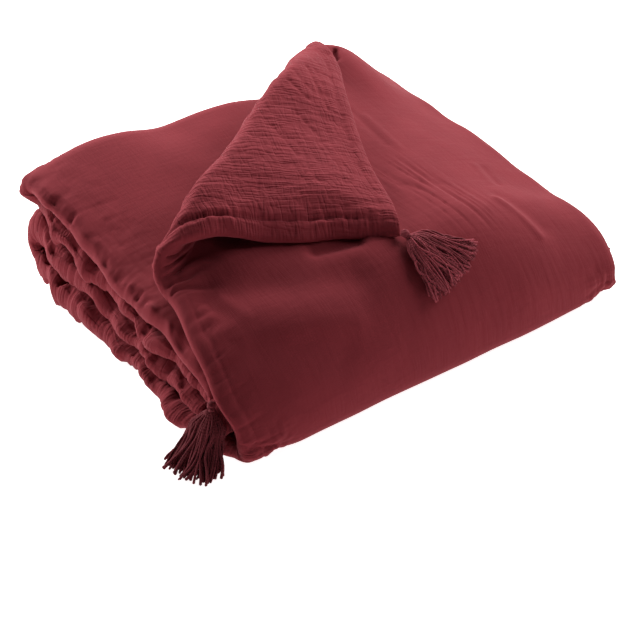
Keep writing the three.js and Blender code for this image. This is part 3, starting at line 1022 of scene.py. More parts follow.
@dataclass
class Runner:
    """The padded cloth: a closed surface of two faces, folded, turned back and settled.

    The loft at a hem is a share of the full thickness, which the cloth reaches at its loft reach.
    The outer end's hem bellies out by its shift at the stations across the width. A wave of the
    faces has its size and its length along and across the cloth. The gauze's finest creases are
    the material's: the crinkled hem has the inner face's share, the outer face's and a width.
    """

    width: float = 500.0
    inner_right_loft: float = 0.86
    inner_left_loft: float = 1.06
    outer_loft: float = 0.95
    loft_reach: float = 70.0
    edge: float = 12.0
    edge_shares: Curve = (0, 0.05, 0.16, 0.32, 0.5, 0.72, 1.0)
    column_step: float = 1.9
    wrap_blend: float = 80.0
    flap_blend: float = 30.0
    end_stations: Curve = (-250, -206, -150, -50, 17, 60, 105, 150, 250)
    end_shift: Curve = (6, 7, 3.5, 3.5, 6, 11, 9, 2, 0)
    end_reach: float = 120.0
    wave_sizes: tuple[Triple, ...] = ((1.0, 74.0, 66.0), (0.5, 31.0, 37.0))
    wave_inside: float = 0.7
    wave_outside: float = 0.9
    calm: float = 0.85
    calm_from_start: Pair = (20.0, 80.0)
    calm_until_lobe: float = 30.0
    calm_from_side: Pair = (3.0, 13.0)
    edge_calm: float = 5.0
    crinkled_outside: float = 0.13
    crinkled_hem: Triple = (1.3, 1.0, 22.0)
    line: FoldedLine = field(default_factory=FoldedLine)
    corner: TurnedCorner = field(default_factory=TurnedCorner)
    pile: Pile = field(default_factory=Pile)
    hems: SideHems = field(default_factory=SideHems)
    flap_hem: FlapHem = field(default_factory=FlapHem)
    belly: FlapBelly = field(default_factory=FlapBelly)
    relief: GauzeRelief = field(default_factory=GauzeRelief)

    @property
    def half_width(self) -> float:
        """Half of the cloth's width."""
        return self.width / 2

    def from_side(self, u: Array) -> Array:
        """Distance from the nearer side hem."""
        return self.half_width - np.abs(u)

    def from_end(self, s: Array) -> Array:
        """Distance from the nearer end hem."""
        return np.minimum(s, self.line.length - s)

    def flat_y(self, s: Array) -> Array:
        """Y on the level top ply, before its corner is turned back."""
        return s - self.line.start_of("top ply, back") + self.line.turned_from

    def past_fold(self, s: Array, u: Array) -> Array:
        """Distance past the turned corner's fold line, negative before it."""
        return self.corner.across(u, self.flat_y(s))

    def past_curl(self, s: Array, values: Curve) -> Array:
        """Reads a curve along the left hem, from where the fold line meets it."""
        return curve_through(self.flap_hem.stations, values, self.flat_y(s) - self.corner.origin[1])

    def outward(self, s: Array) -> Array:
        """0 inside the pile and 1 on the ply that wraps it."""
        return smooth((s - self.line.start_of("wrap foot")) / self.wrap_blend)

    def on_flap(self, s: Array, u: Array) -> Array:
        """0 up to the turned corner's fold line and 1 from 30 mm past it."""
        return smooth(self.past_fold(s, u) / self.flap_blend) * self.outward(s)

    def loft(self, s: Array, u: Array) -> Array:
        """Thickness before the edge is rounded: less near a hem, and least on the flap's.

        Args:
            s: distance along the cloth.
            u: distance across it.

        Returns:
            Thickness in mm.
        """
        inside = np.where(u < 0, self.inner_left_loft, self.inner_right_loft)
        at_hem = lerp(inside, self.outer_loft, self.outward(s))
        at_hem = lerp(at_hem, self.past_curl(s, self.flap_hem.loft), self.on_flap(s, u))
        nearest = np.minimum(self.from_side(u), self.from_end(s))
        return self.line.thickness * lerp(at_hem, 1, smooth(nearest / self.loft_reach))

    def hem_shift(self, s: Array, u: Array, y: Array, z: Array) -> tuple[Array, Array]:
        """How far the cloth near the side hems moves out and up.

        It moves by the hems' waves and bulges everywhere and by their crushed form inside the
        pile, all times the square of the share of the reach that is left.

        Args:
            s: distance along the cloth.
            u: distance across it.
            y: Y of the middle line.
            z: height of the middle line.

        Returns:
            How far it moves out and up, in mm.
        """
        hems, side, from_side = self.hems, np.sign(u), self.from_side(u)
        inside = 1 - self.outward(s)
        out, lift = hems.waved(s, side, lerp(1, hems.wrap_share, self.outward(s)))
        lines = self.relief.crush_lines(s, from_side * side)
        crushed_out, crushed_lift = hems.crushed(s, side, from_side, lines)
        out = out + hems.bulged(side, y, z) + inside * crushed_out
        lift = lift + inside * crushed_lift
        upper = 1 - smooth((s - self.line.start_of("upper back lobe")) / hems.upper_over)
        fade = (1 - np.minimum(from_side / hems.reach, 1)) ** 2
        out = out * fade * lerp(1, hems.upper_out_share, upper)
        return out, lift * fade * lerp(1, hems.upper_up_share, upper)

    def drag(self, s: Array, u: Array) -> Array:
        """How far the left hem is drawn back where it curls and lies on the pile, fading inwards.

        Args:
            s: distance along the cloth.
            u: distance across it.

        Returns:
            X, Y and Z of the move on the last axis.
        """
        fade = smooth(1 - (u + self.half_width) / self.flap_hem.reach)[..., None]
        along_hem = 2 * self.corner.angle - math.pi / 2
        square = np.array([-math.sin(along_hem), math.cos(along_hem), 0.0])
        return fade * self.flap_hem.shift(self.flat_y(s) - self.corner.origin[1], square)

    def past_end(self, s: Array, u: Array) -> Array:
        """How far the outer end's hem bellies out along the cloth, fading inwards."""
        shift = curve_through(self.end_stations, self.end_shift, u)
        return shift * smooth(1 - (self.line.length - s) / self.end_reach)

    def point(self, s: Array, u: Array, off_middle: Array) -> Array:
        """Where a point of the cloth lies.

        The point goes off the middle line along its normal, is then turned over the slanting fold
        line where the corner is turned back, and is settled with the pile.

        Args:
            s: distance along the cloth, shape (n, 1).
            u: distance across its width from the middle, shape (1, m).
            off_middle: distance off the middle of the thickness, positive towards the outer face.

        Returns:
            Points, shape (n, m, 3), in mm.
        """
        y, z, heading, turned, bottom = (part[:, None] for part in self.line.read(s[:, 0]))
        out, lift = self.hem_shift(s, u, y, z)
        x = u + np.sign(u) * out
        from_left = u + self.half_width
        at_hem = np.clip(1 - from_left / self.relief.seam, 0, 1)
        droop = self.past_curl(s, self.flap_hem.droop) * at_hem
        belly = self.belly.at(from_left, self.past_fold(s, u), self.line.length - s)
        off = off_middle + lift + droop - belly + np.where(bottom, self.sunk_to_floor(s, u), 0)
        plain = self.pile.settle(x, y - np.sin(heading) * off, z + np.cos(heading) * off)
        stretched = self.turned_point(x, y + self.past_end(s, u), z, off)
        return np.where(turned[..., None], stretched, plain) + self.drag(s, u)

    def sunk_to_floor(self, s: Array, u: Array) -> Array:
        """How far the bottom ply's middle sinks where it is thinner, so that it lies flat.

        Args:
            s: distance along the cloth.
            u: distance across it.

        Returns:
            Distance towards the outer face, in mm.
        """
        return self.line.thickness / 2 - self.loft(s, u) / 2

    def turned_point(self, x: Array, y: Array, z: Array, off: Array) -> Array:
        """A point of the top ply's back, with its left corner turned over the fold line.

        Args:
            x: X on the level ply.
            y: Y on the level ply.
            z: height of its middle line.
            off: distance off the middle line.

        Returns:
            Points, with X, Y and Z on the last axis.
        """
        along = self.corner.along(x, y)
        bow = self.corner.bow_at(along)
        reach, rise, angle = self.corner.turn(along, self.corner.across(x, y) - bow)
        spot_x, spot_y = self.corner.spot(along, bow + reach - np.sin(angle) * off)
        height = z + rise + np.cos(angle) * off
        new_y, new_z = self.line.over_brow(spot_y, height, self.corner.lift)
        return self.pile.settle(spot_x, new_y, new_z + self.corner.tip_rise(spot_x, spot_y))

    def relief_on(self, s: Array, u: Array, face: Face) -> Array:
        """How far one face stands out of its even thickness.

        The shown relief counts on the ply that wraps the pile, the crushed hems inside the pile,
        and soft waves everywhere. The upper ply inside the pile is calmer on its outer face.

        Args:
            s: distance along the cloth.
            u: distance across it.
            face: which face.

        Returns:
            Relief in mm.
        """
        relief, outward = self.relief, self.outward(s)
        from_side, from_end = self.from_side(u), self.from_end(s)
        behind = s - self.line.start_of("top ply, front")
        seed = face.seed
        fan = relief.fan.depth(u - self.corner.origin[0], self.flat_y(s) - self.corner.origin[1])
        if face is Face.INNER:
            shown = relief.inner_face(s, u, behind, from_side, from_end, seed)
            shown, calm = shown - relief.inner_fan * fan, 0.0
        else:
            marks = relief.top_marks(u, behind) * (1 - self.on_flap(s, u))
            shown = relief.outer_face(s, u, behind, from_side, seed) + marks
            shown, calm = shown + relief.outer_fan * fan, self.calm_share(s, from_side)
        crushed = relief.crush(s, from_side * np.sign(u), seed + 9)
        waves = sum(
            size * lattice_noise(s / long, u / wide, seed + 30 + number)
            for number, (size, long, wide) in enumerate(self.wave_sizes)
        )
        total = outward * shown + (1 - outward) * (1 - calm) * crushed
        total = total + waves * lerp(self.wave_inside, self.wave_outside, outward)
        return total * smooth(np.minimum(from_side, from_end) / self.edge_calm)

    def calm_share(self, s: Array, from_side: Array) -> Array:
        """Share of the crushing that the inner end's ply lacks on the face that shows.

        Args:
            s: distance along the cloth.
            from_side: distance from the nearer side hem.

        Returns:
            Share from 0 to 1.
        """
        past_lobe = smooth((s - self.line.start_of("upper back lobe")) / self.calm_until_lobe)
        calm = self.calm * ramp(s, *self.calm_from_start) * (1 - past_lobe)
        return calm * ramp(from_side, *self.calm_from_side)

    def cloth_corner(self, s: float, side: int) -> Array:
        """Where one corner of the cloth lies, in the middle of its thickness."""
        return self.point(np.array([[s]]), np.array([[side * self.half_width]]), 0.0)[0, 0]

    def columns(self, edge: Array) -> Array:
        """Distances across the width: close together at both hems, then even.

        Args:
            edge: distances of the columns from a hem, increasing from 0.

        Returns:
            Distances from the middle, increasing.
        """
        inner = self.half_width - edge[-1]
        count = round(2 * inner / self.column_step)
        inside = -inner + 2 * inner * np.arange(1, count) / count
        return np.concatenate([edge - self.half_width, inside, (self.half_width - edge)[::-1]])

    def build(self) -> bpy.types.Object:
        """Makes the closed mesh of both faces, sewn together along the hems.

        Returns:
            The cloth, with its flat place as UV and the share of crinkled gauze as an attribute.
        """
        edge = self.edge * np.array(self.edge_shares)
        s, u = self.line.stations(edge)[:, None], self.columns(edge)[None, :]
        side_reach = lerp(self.edge, self.flap_hem.edge, self.on_flap(s, u))
        thickness = self.loft(s, u) * quarter_round(self.from_side(u), side_reach)
        thickness = thickness * quarter_round(self.from_end(s), self.edge)
        outer, inner = (
            self.point(s, u, face.value * (thickness / 2 + self.relief_on(s, u, face)))
            for face in Face
        )
        rows, cols = outer.shape[:2]
        outer_number = np.arange(rows * cols).reshape(rows, cols)
        inner_number = outer_number.copy()
        within = np.arange((rows - 2) * (cols - 2)).reshape(rows - 2, cols - 2)
        inner_number[1:-1, 1:-1] = rows * cols + within
        points = np.concatenate([outer.reshape(-1, 3), inner[1:-1, 1:-1].reshape(-1, 3)])
        quads = [grid_quads(outer_number), grid_quads(inner_number)[:, ::-1]]
        flat = np.stack(np.broadcast_arrays(s, u), axis=-1) * MM
        beside = flat + np.array([0.0, 0.7])
        uv = [grid_quads(flat), grid_quads(beside)[:, ::-1]]
        shares = np.concatenate([
            self.crinkled(s, u, Face.OUTER).ravel(),
            self.crinkled(s, u, Face.INNER)[1:-1, 1:-1].ravel(),
        ])
        return mesh_object(
            "runner_gauze", points * MM, np.concatenate(quads), np.concatenate(uv),
            {CRINKLED_SHARE: shares},
        )

    def crinkled(self, s: Array, u: Array, face: Face) -> Array:
        """How strongly the material's fine creases show: on the flap and on the crushed hems.

        Args:
            s: distance along the cloth.
            u: distance across it.
            face: which face.

        Returns:
            Share of the creases' full depth.
        """
        on_inner, on_outer, width = self.crinkled_hem
        past_lobe = smooth((s - self.line.start_of("upper back lobe")) / self.hems.upper_over)
        hem = (1 - self.outward(s)) * past_lobe * bell(self.from_side(u) / width)
        if face is Face.INNER:
            return self.outward(s) + on_inner * hem
        return self.crinkled_outside + on_outer * hem


def grid_quads(grid: Array) -> Array:
    """Corners of each cell of a grid, going round: (i, j), (i, j + 1), (i + 1, j + 1), (i + 1, j).

    Args:
        grid: shape (n, m) of point numbers, or (n, m, k) of values.

    Returns:
        Shape ((n - 1) (m - 1), 4) or ((n - 1) (m - 1), 4, k).
    """
    cells = np.stack([grid[:-1, :-1], grid[:-1, 1:], grid[1:, 1:], grid[1:, :-1]], axis=2)
    return cells.reshape(-1, *cells.shape[2:])


def mesh_object(
    name: str, points: Array, quads: Array, uv: Array | None = None,
    shares: dict[str, Array] | None = None,
) -> bpy.types.Object:
    """Makes a smooth-shaded mesh object from arrays.

    Args:
        name: name of the piece.
        points: shape (n, 3), in metres.
        quads: shape (f, 4), point numbers.
        uv: shape (f, 4, 2), a place on the flat cloth or yarn, in metres.
        shares: named values from 0 to 1, one a point, for the materials.

    Returns:
        The object, at the origin and linked to the scene.
    """
    mesh = bpy.data.meshes.new(name)
    mesh.vertices.add(len(points))
    mesh.vertices.foreach_set("co", np.ascontiguousarray(points, np.float32).ravel())
    mesh.loops.add(quads.size)
    mesh.loops.foreach_set("vertex_index", np.ascontiguousarray(quads, np.int32).ravel())
    mesh.polygons.add(len(quads))
    mesh.polygons.foreach_set("loop_start", np.arange(0, quads.size, 4, dtype=np.int32))
    mesh.update(calc_edges=True)
    mesh.polygons.foreach_set("use_smooth", np.ones(len(quads), bool))
    if uv is not None:
        layer = mesh.uv_layers.new(name=CLOTH_UV)
        layer.uv.foreach_set("vector", np.ascontiguousarray(uv, np.float32).ravel())
    for share, values in (shares or {}).items():
        attribute = mesh.attributes.new(share, "FLOAT", "POINT")
        attribute.data.foreach_set("value", np.ascontiguousarray(values, np.float32))
    mesh.validate()
    piece = bpy.data.objects.new(name, mesh)
    bpy.context.scene.collection.objects.link(piece)
    return piece


def normalised(vectors: Array) -> Array:
    """Each vector over its length."""
    return vectors / np.maximum(np.linalg.norm(vectors, axis=-1, keepdims=True), 1e-12)


def tubes(paths: Array, radii: Array, sides: int) -> MeshParts:
    """Closed tubes round many paths at once.

    At each stop two normals span the section, square to the path's direction, and a point is
    path + radius (cos a n1 + sin a n2). Both ends close to a point.

    Args:
        paths: shape (tubes, stops, 3).
        radii: shape (tubes, stops).
        sides: corners of the section.

    Returns:
        Points, quads and the quads' places (round, along) in the paths' unit.
    """
    count, stops = paths.shape[:2]
    heading = normalised(np.gradient(paths, axis=1))
    helper = np.where(np.abs(heading[..., 2:]) > 0.9, [[[1.0, 0, 0]]], [[[0.0, 0, 1]]])
    first = normalised(np.cross(heading, helper))
    second = np.cross(heading, first)
    turn = 2 * math.pi * np.arange(sides) / sides
    ring = np.cos(turn)[:, None] * first[:, :, None] + np.sin(turn)[:, None] * second[:, :, None]
    closed = radii.copy()
    closed[:, [0, -1]] = POLE
    points = paths[:, :, None] + closed[:, :, None, None] * ring
    number = np.arange(count * stops * sides).reshape(count, stops, sides)
    number = np.concatenate([number, number[..., :1]], axis=2)
    steps = np.linalg.norm(np.diff(paths, axis=1, prepend=paths[:, :1]), axis=-1)
    travelled = np.cumsum(steps, axis=1)
    around = np.broadcast_to(np.arange(sides + 1) / sides, (count, stops, sides + 1))
    place = np.stack([around, np.broadcast_to(travelled[..., None], around.shape)], axis=-1)
    quads = np.concatenate([grid_quads(one) for one in number])
    uv = np.concatenate([grid_quads(one) for one in place])
    return points.reshape(-1, 3), quads, uv


@dataclass
class Tassel:
    """A knotted tassel: a cord from the cloth's corner, a knot, and a skirt of yarns that swells.

    The skirt swells from the neck to the body over a share of the yarns' length. Each yarn waves
    sideways by its half waves, a mean and a spread, and its end curls and frays. Each yarn's tone
    is paler with wear at random, and its range is painted light and shade: wear_and_painted_light
    is 1 on the tassel that lies on top, in the light, and less on the hanging ones, as painted
    shade.
    """

    name: str
    strands: int = 260
    yarn_radius: float = 0.95
    yarn_spread: Pair = (0.8, 1.2)
    frayed: float = 0.22
    frayed_from: float = 0.6
    sides: int = 6
    stops: int = 14
    blunt_from: float = 0.985
    neck_from: float = 8.0
    neck_radius: float = 3.4
    body_radius: float = 10.5
    swell: float = 0.22
    cord_radius: float = 1.5
    cord_root: float = 0.6
    neck_widens: Pair = (7.0, 9.0)
    knot_at: float = 5.0
    knot_half: float = 4.4
    knot_radius: float = 4.0
    ridge: float = 0.6
    ridge_slant: float = 0.7
    head_length: float = 11.5
    head_rows: int = 48
    head_corners: int = 36
    head_yarns: float = 6.0
    half_waves: Pair = (2.0, 0.6)
    calm_root: float = 0.3
    wave: float = 2.8
    curl: float = 3.4
    # range of the yarns' paler tone: random wear, scaled per tassel as painted light and shade
    wear_and_painted_light: float = 1.0
    seed: int = 5

    def head(self, start: Array, towards: Array) -> MeshParts:
        """Cord and knot as one turned form.

        The radius at a distance v is the larger of a cord and a knot r sqrt(1 - ((v - k) / h)^2),
        with h half the knot's length, plus slanting yarn ridges |sin| on the knot.

        Args:
            start: where the cord leaves the cloth, mm.
            towards: a point on the head's axis beyond it.

        Returns:
            Points, quads and places of the quads.
        """
        axis = normalised(towards - start)
        side = normalised(np.cross(axis, [0.0, 0, 1] if abs(axis[2]) < 0.9 else [1.0, 0, 0]))
        other = np.cross(axis, side)
        v = np.linspace(0, self.head_length, self.head_rows)[:, None]
        a = np.linspace(0, 2 * math.pi, self.head_corners + 1)[None, :-1]
        from_knot = (v - self.knot_at) / self.knot_half
        knot = self.knot_radius * np.sqrt(np.clip(1 - from_knot**2, 0, 1))
        yarns = self.ridge * np.abs(np.sin(2 * a + self.ridge_slant * v))
        yarns = yarns * (knot > self.cord_radius)
        cord = lerp(self.cord_radius, self.neck_radius, ramp(v, *self.neck_widens))
        radius = np.maximum(knot + yarns, cord * smooth(v / self.cord_root))
        radius = np.where((v <= 0) | (v >= self.head_length), POLE, radius + 0 * a)
        ring = np.cos(a)[..., None] * side + np.sin(a)[..., None] * other
        points = start + v[..., None] * axis + radius[..., None] * ring
        rows, cols = radius.shape
        number = np.arange(rows * cols).reshape(rows, cols)
        number = np.concatenate([number, number[:, :1]], axis=1)
        turned = np.linspace(0, self.head_yarns, cols + 1)[None, :] + 0 * v
        place = np.stack([turned, v + 0 * turned], axis=-1)
        return points.reshape(-1, 3), grid_quads(number)[:, ::-1], grid_quads(place)[:, ::-1]

    def assemble(self, head: MeshParts, paths: Array, rng: np.random.Generator) -> bpy.types.Object:
        """Joins the head and the skirt's yarns into one piece.

        Args:
            head: points, quads and places of the head.
            paths: the yarns' middle lines, shape (strands, stops, 3), mm.
            rng: draws each yarn's thickness and tone.

        Returns:
            The tassel.
        """
        along = np.linspace(0, 1, paths.shape[1])
        loose = 1 + self.frayed * ramp(along, self.frayed_from, 1)
        radii = self.yarn_radius * rng.uniform(*self.yarn_spread, (len(paths), 1)) * loose
        points, quads, uv = tubes(paths, radii, self.sides)
        # tone: random wear, times the tassel's range of painted light and shade
        tone = np.repeat(self.wear_and_painted_light * rng.uniform(0, 1, len(paths)), paths.shape[1] * self.sides)
        all_points = np.concatenate([head[0], points]) * MM
        all_quads = np.concatenate([head[1], quads + len(head[0])])
        all_uv = np.concatenate([head[2], uv]) * np.array([1.0, MM])
        all_tone = np.concatenate([np.full(len(head[0]), 0.5 * self.wear_and_painted_light), tone])
        return mesh_object(self.name, all_points, all_quads, all_uv, {TONE_SHARE: all_tone})

    def shares(self, rng: np.random.Generator) -> tuple[Array, Array, Array]:
        """Each yarn's place across the fan, its layer and its length.

        Args:
            rng: draws them.

        Returns:
            Three shares from 0 to 1, each of shape (strands, 1).
        """
        across = (np.arange(self.strands) + rng.uniform(0, 1, self.strands)) / self.strands
        layer = rng.permutation(self.strands) / self.strands
        return across[:, None], layer[:, None], rng.uniform(0, 1, (self.strands, 1))

    def steps(self) -> Array:
        """Shares of a yarn's length at its stops, the last two close together for a blunt end."""
        return np.append(np.linspace(0, self.blunt_from, self.stops - 1), 1.0)[None, :]

    def sway(self, t: Array, rng: np.random.Generator) -> Array:
        """Sideways wave of each yarn: a sine along it, and a curl that grows at its end.

        Args:
            t: shares of the yarn's length.
            rng: draws each wave's size, length and phase, and each curl.

        Returns:
            Distance sideways, mm.
        """
        size, turns, phase = (rng.normal(0, 1, (self.strands, 1)) for _ in range(3))
        half_waves = self.half_waves[0] + self.half_waves[1] * turns
        wave = self.wave * size * np.sin(math.pi * t * half_waves + phase)
        curl = self.curl * rng.normal(0, 1, (self.strands, 1)) * t**4
        return wave * smooth(t / self.calm_root) + curl

    def girth(self, t: Array) -> Array:
        """Half width of the yarns' bundle: the neck's, swelling to the body's."""
        return lerp(self.neck_radius, self.body_radius, smooth(t / self.swell))


def round_section(across: Array, layer: Array) -> Array:
    """Height in a round bundle, -1 to 1: the circle's height at the place across, by the layer."""
    return np.sqrt(np.maximum(1 - (2 * across - 1) ** 2, 0)) * (2 * layer - 1)


@dataclass
class LyingTassel(Tassel):
    """The turned-back corner's tassel, which lies on the top ply and over the front of the pile.

    Its own direction leans to the right of straight down. Angles are in radians.
    """

    lean: float = 0.5
    half_angle: float = 0.44
    scatter: float = 0.05
    short: float = 50.0
    long: float = 60.0
    stretch: float = 10.0
    droop: float = 1.4
    root_at: float = 0.9
    axis_to: float = 14.0
    start_height: float = 11.6
    neck_height: float = 7.5
    clear: float = 0.8
    layers: float = 9.5
    flattened: float = 0.6

    def build(self, runner: Runner) -> bpy.types.Object:
        """Lays the head and the fan of yarns on the brow.

        A yarn leaves the neck at its own angle. Its height over the ply falls from the bundle's to
        its layer's by (1 - t)^droop, and it sways sideways.

        Args:
            runner: the cloth that it lies on.

        Returns:
            The tassel.
        """
        rng = np.random.default_rng(self.seed)
        line = runner.line
        corner = runner.cloth_corner(line.length, -1)
        brow_angle = math.asin((line.brow - corner[1]) / (line.brow_radius + runner.corner.lift))
        face = line.brow_radius + line.thickness / 2
        ahead, aside = math.cos(self.lean), math.sin(self.lean)

        def place(down: Array, right: Array, height: Array) -> Array:
            """Point over the brow, from distances down the wrap, to the right and off the ply."""
            angle = brow_angle + down / face
            y = line.brow - (face + height) * np.sin(angle)
            z = line.top - line.brow_radius + (face + height) * np.cos(angle)
            return runner.pile.settle(corner[0] + right, y, z)

        def along(distance: float, height: float) -> Array:
            """Point at a distance from the corner in the tassel's own direction."""
            return place(np.array(distance * ahead), np.array(distance * aside), np.array(height))

        root = along(self.root_at, self.start_height)
        head = self.head(root, along(self.axis_to, self.neck_height))
        across, layer, length = self.shares(rng)
        t = self.steps()
        thick = round_section(across, layer)
        angle = self.lean + self.half_angle * (2 * across - 1)
        angle = angle + rng.normal(0, self.scatter, (self.strands, 1))
        reach = lerp(self.short, self.long, length) + self.stretch * across
        sideways = (2 * across - 1) * self.girth(t) + self.sway(t, rng)
        down = self.neck_from * ahead + reach * t * np.cos(angle) - sideways * aside
        right = self.neck_from * aside + reach * t * np.sin(angle) + sideways * ahead
        low = self.yarn_radius + self.clear + self.layers * layer
        high = self.neck_height + self.flattened * thick * self.girth(t)
        return self.assemble(head, place(down, right, lerp(low, high, (1 - t) ** self.droop)), rng)


@dataclass
class HangingTassel(Tassel):
    """A tassel that hangs from its corner and spreads on the surface that the pile lies on.

    The start and the neck are measured from the cloth's corner. The fan's bearings and their
    scatter are in degrees.
    """

    strands: int = 220
    yarn_radius: float = 1.2
    curl: float = 3.6
    # darker yarns: painted shade for the pile's shadow over the hanging tassels
    wear_and_painted_light: float = 0.25
    body_radius: float = 14.0
    swell: float = 0.3
    at_outer_end: bool = False
    side: int = -1
    start: Triple = (0.0, 0.0, 0.0)
    neck: Triple = (0.0, 0.0, 0.0)
    fan: Pair = (163.0, 243.0)
    scatter: float = 2.5
    short: float = 34.0
    long: float = 46.0
    lowest_share: float = 0.6
    swell_ahead: float = 0.45
    outward_power: float = 1.6
    fall_power: float = 1.15
    clear: float = 1.3
    layers: float = 6.0
    layers_spread: Pair = (0.3, 1.0)

    def build(self, runner: Runner) -> bpy.types.Object:
        """Hangs the head and lets the yarns fall outwards.

        A yarn at bearing b goes out by reach * t^outward_power and falls by (1 - t)^fall_power,
        down to its own place in the layers on the surface.

        Args:
            runner: the cloth that it hangs from.

        Returns:
            The tassel.
        """
        rng = np.random.default_rng(self.seed)
        corner = runner.cloth_corner(runner.line.length if self.at_outer_end else 0.0, self.side)
        start, towards = corner + np.array(self.start), corner + np.array(self.neck)
        root = start + normalised(towards - start) * self.neck_from
        middle = math.radians(sum(self.fan) / 2)
        ahead = np.array([math.cos(middle), math.sin(middle)])
        sideways = np.array([-ahead[1], ahead[0]]) * np.sign(self.fan[1] - self.fan[0])
        across, layer, length = self.shares(rng)
        t = self.steps()
        aside = (2 * across - 1) * self.girth(t)
        depth = round_section(across, layer) * self.neck_radius
        swollen = self.swell_ahead * (self.girth(t) - self.neck_radius)
        depth = depth + swollen * (1 + depth / self.neck_radius)
        bearing = lerp(self.fan[0], self.fan[1], across)
        bearing = np.radians(bearing + rng.normal(0, self.scatter, (self.strands, 1)))
        reach = lerp(self.short, self.long, length) * lerp(self.lowest_share, 1.0, np.sqrt(layer))
        gone, sway = reach * t**self.outward_power, self.sway(t, rng)
        over = [aside * sideways[axis] + depth * ahead[axis] for axis in (0, 1)]
        x = root[0] + over[0] + gone * np.cos(bearing) - sway * np.sin(bearing)
        y = root[1] + over[1] + gone * np.sin(bearing) + sway * np.cos(bearing)
        spread = rng.uniform(*self.layers_spread, (self.strands, 1))
        low = self.yarn_radius * self.clear + self.layers * (1 - layer) * spread
        z = lerp(low, root[2], (1 - t) ** self.fall_power)
        return self.assemble(self.head(start, towards), np.stack([x, y, z], axis=-1), rng)


def linear(hex_code: str) -> tuple[float, float, float, float]:
    """Turns an sRGB colour to linear: c / 12.92 below 0.04045, else ((c + 0.055) / 1.055)^2.4.

    Args:
        hex_code: red, green and blue as six hex digits.

    Returns:
        Red, green, blue and alpha.
    """
    parts = [int(hex_code[i : i + 2], 16) / 255 for i in (0, 2, 4)]
    red, green, blue = (c / 12.92 if c <= 0.04045 else ((c + 0.055) / 1.055) ** 2.4 for c in parts)
    return red, green, blue, 1.0


def add_node(
    tree: Tree, kind: str, links: dict[str | int, Socket] | None = None, **settings: object
) -> bpy.types.Node:
    """Adds a node, sets its properties and socket values, and links its inputs.

    Args:
        tree: the material's nodes.
        kind: Blender's name of the node type.
        links: input name or number to the output that feeds it.
        settings: property name to value; a name that isn't a property is an input, _ for a space.

    Returns:
        The new node.
    """
    node = tree.nodes.new(kind)
    for name, value in settings.items():
        if hasattr(node, name):
            setattr(node, name, value)
        else:
            node.inputs[name.replace("_", " ")].default_value = value
    for name, output in (links or {}).items():
        tree.links.new(output, node.inputs[name])
    return node


def wave_scale(spacing: float) -> float:
    """A wave texture's scale for waves this far apart: one wave is 2 pi / 20 of its unit."""
    return 2 * math.pi / 20 / spacing


@dataclass(frozen=True)
class CottonFinish:
    """Dyed cotton, which the cloth and the tassels share: matt, with a bloom of fibre ends.

    The eye sees no gloss, but a paler, pinkish rim where the fibre ends catch the light.
    """

    name: str
    shade: str
    light: str
    roughness: float
    specular: float
    bloom: float
    bloom_roughness: float = 0.5
    bloom_colour: str = "FFB0B8"
    ior: float = 1.45

    def build(self) -> bpy.types.Material:
        """Makes the material: a tint between shade and light, under the finish's own relief.

        Returns:
            The material.
        """
        material = bpy.data.materials.new(self.name)
        material.use_nodes = True
        tree = material.node_tree
        tree.nodes.clear()
        share, normal = self.pattern(tree)
        tint = add_node(tree, "ShaderNodeMix", {0: share}, data_type="RGBA")
        tint.inputs[6].default_value = linear(self.shade)
        tint.inputs[7].default_value = linear(self.light)
        shader = add_node(
            tree,
            "ShaderNodeBsdfPrincipled",
            {"Base Color": tint.outputs[2], "Normal": normal},
            Roughness=self.roughness,
            IOR=self.ior,
            Specular_IOR_Level=self.specular,
            Sheen_Weight=self.bloom,
            Sheen_Roughness=self.bloom_roughness,
            Sheen_Tint=linear(self.bloom_colour),
        )
        add_node(tree, "ShaderNodeOutputMaterial", {"Surface": shader.outputs[0]})
        return material

    def pattern(self, tree: Tree) -> tuple[Socket, Socket]:
        """Share of the light tint, and the normal with the finish's relief."""
        raise NotImplementedError


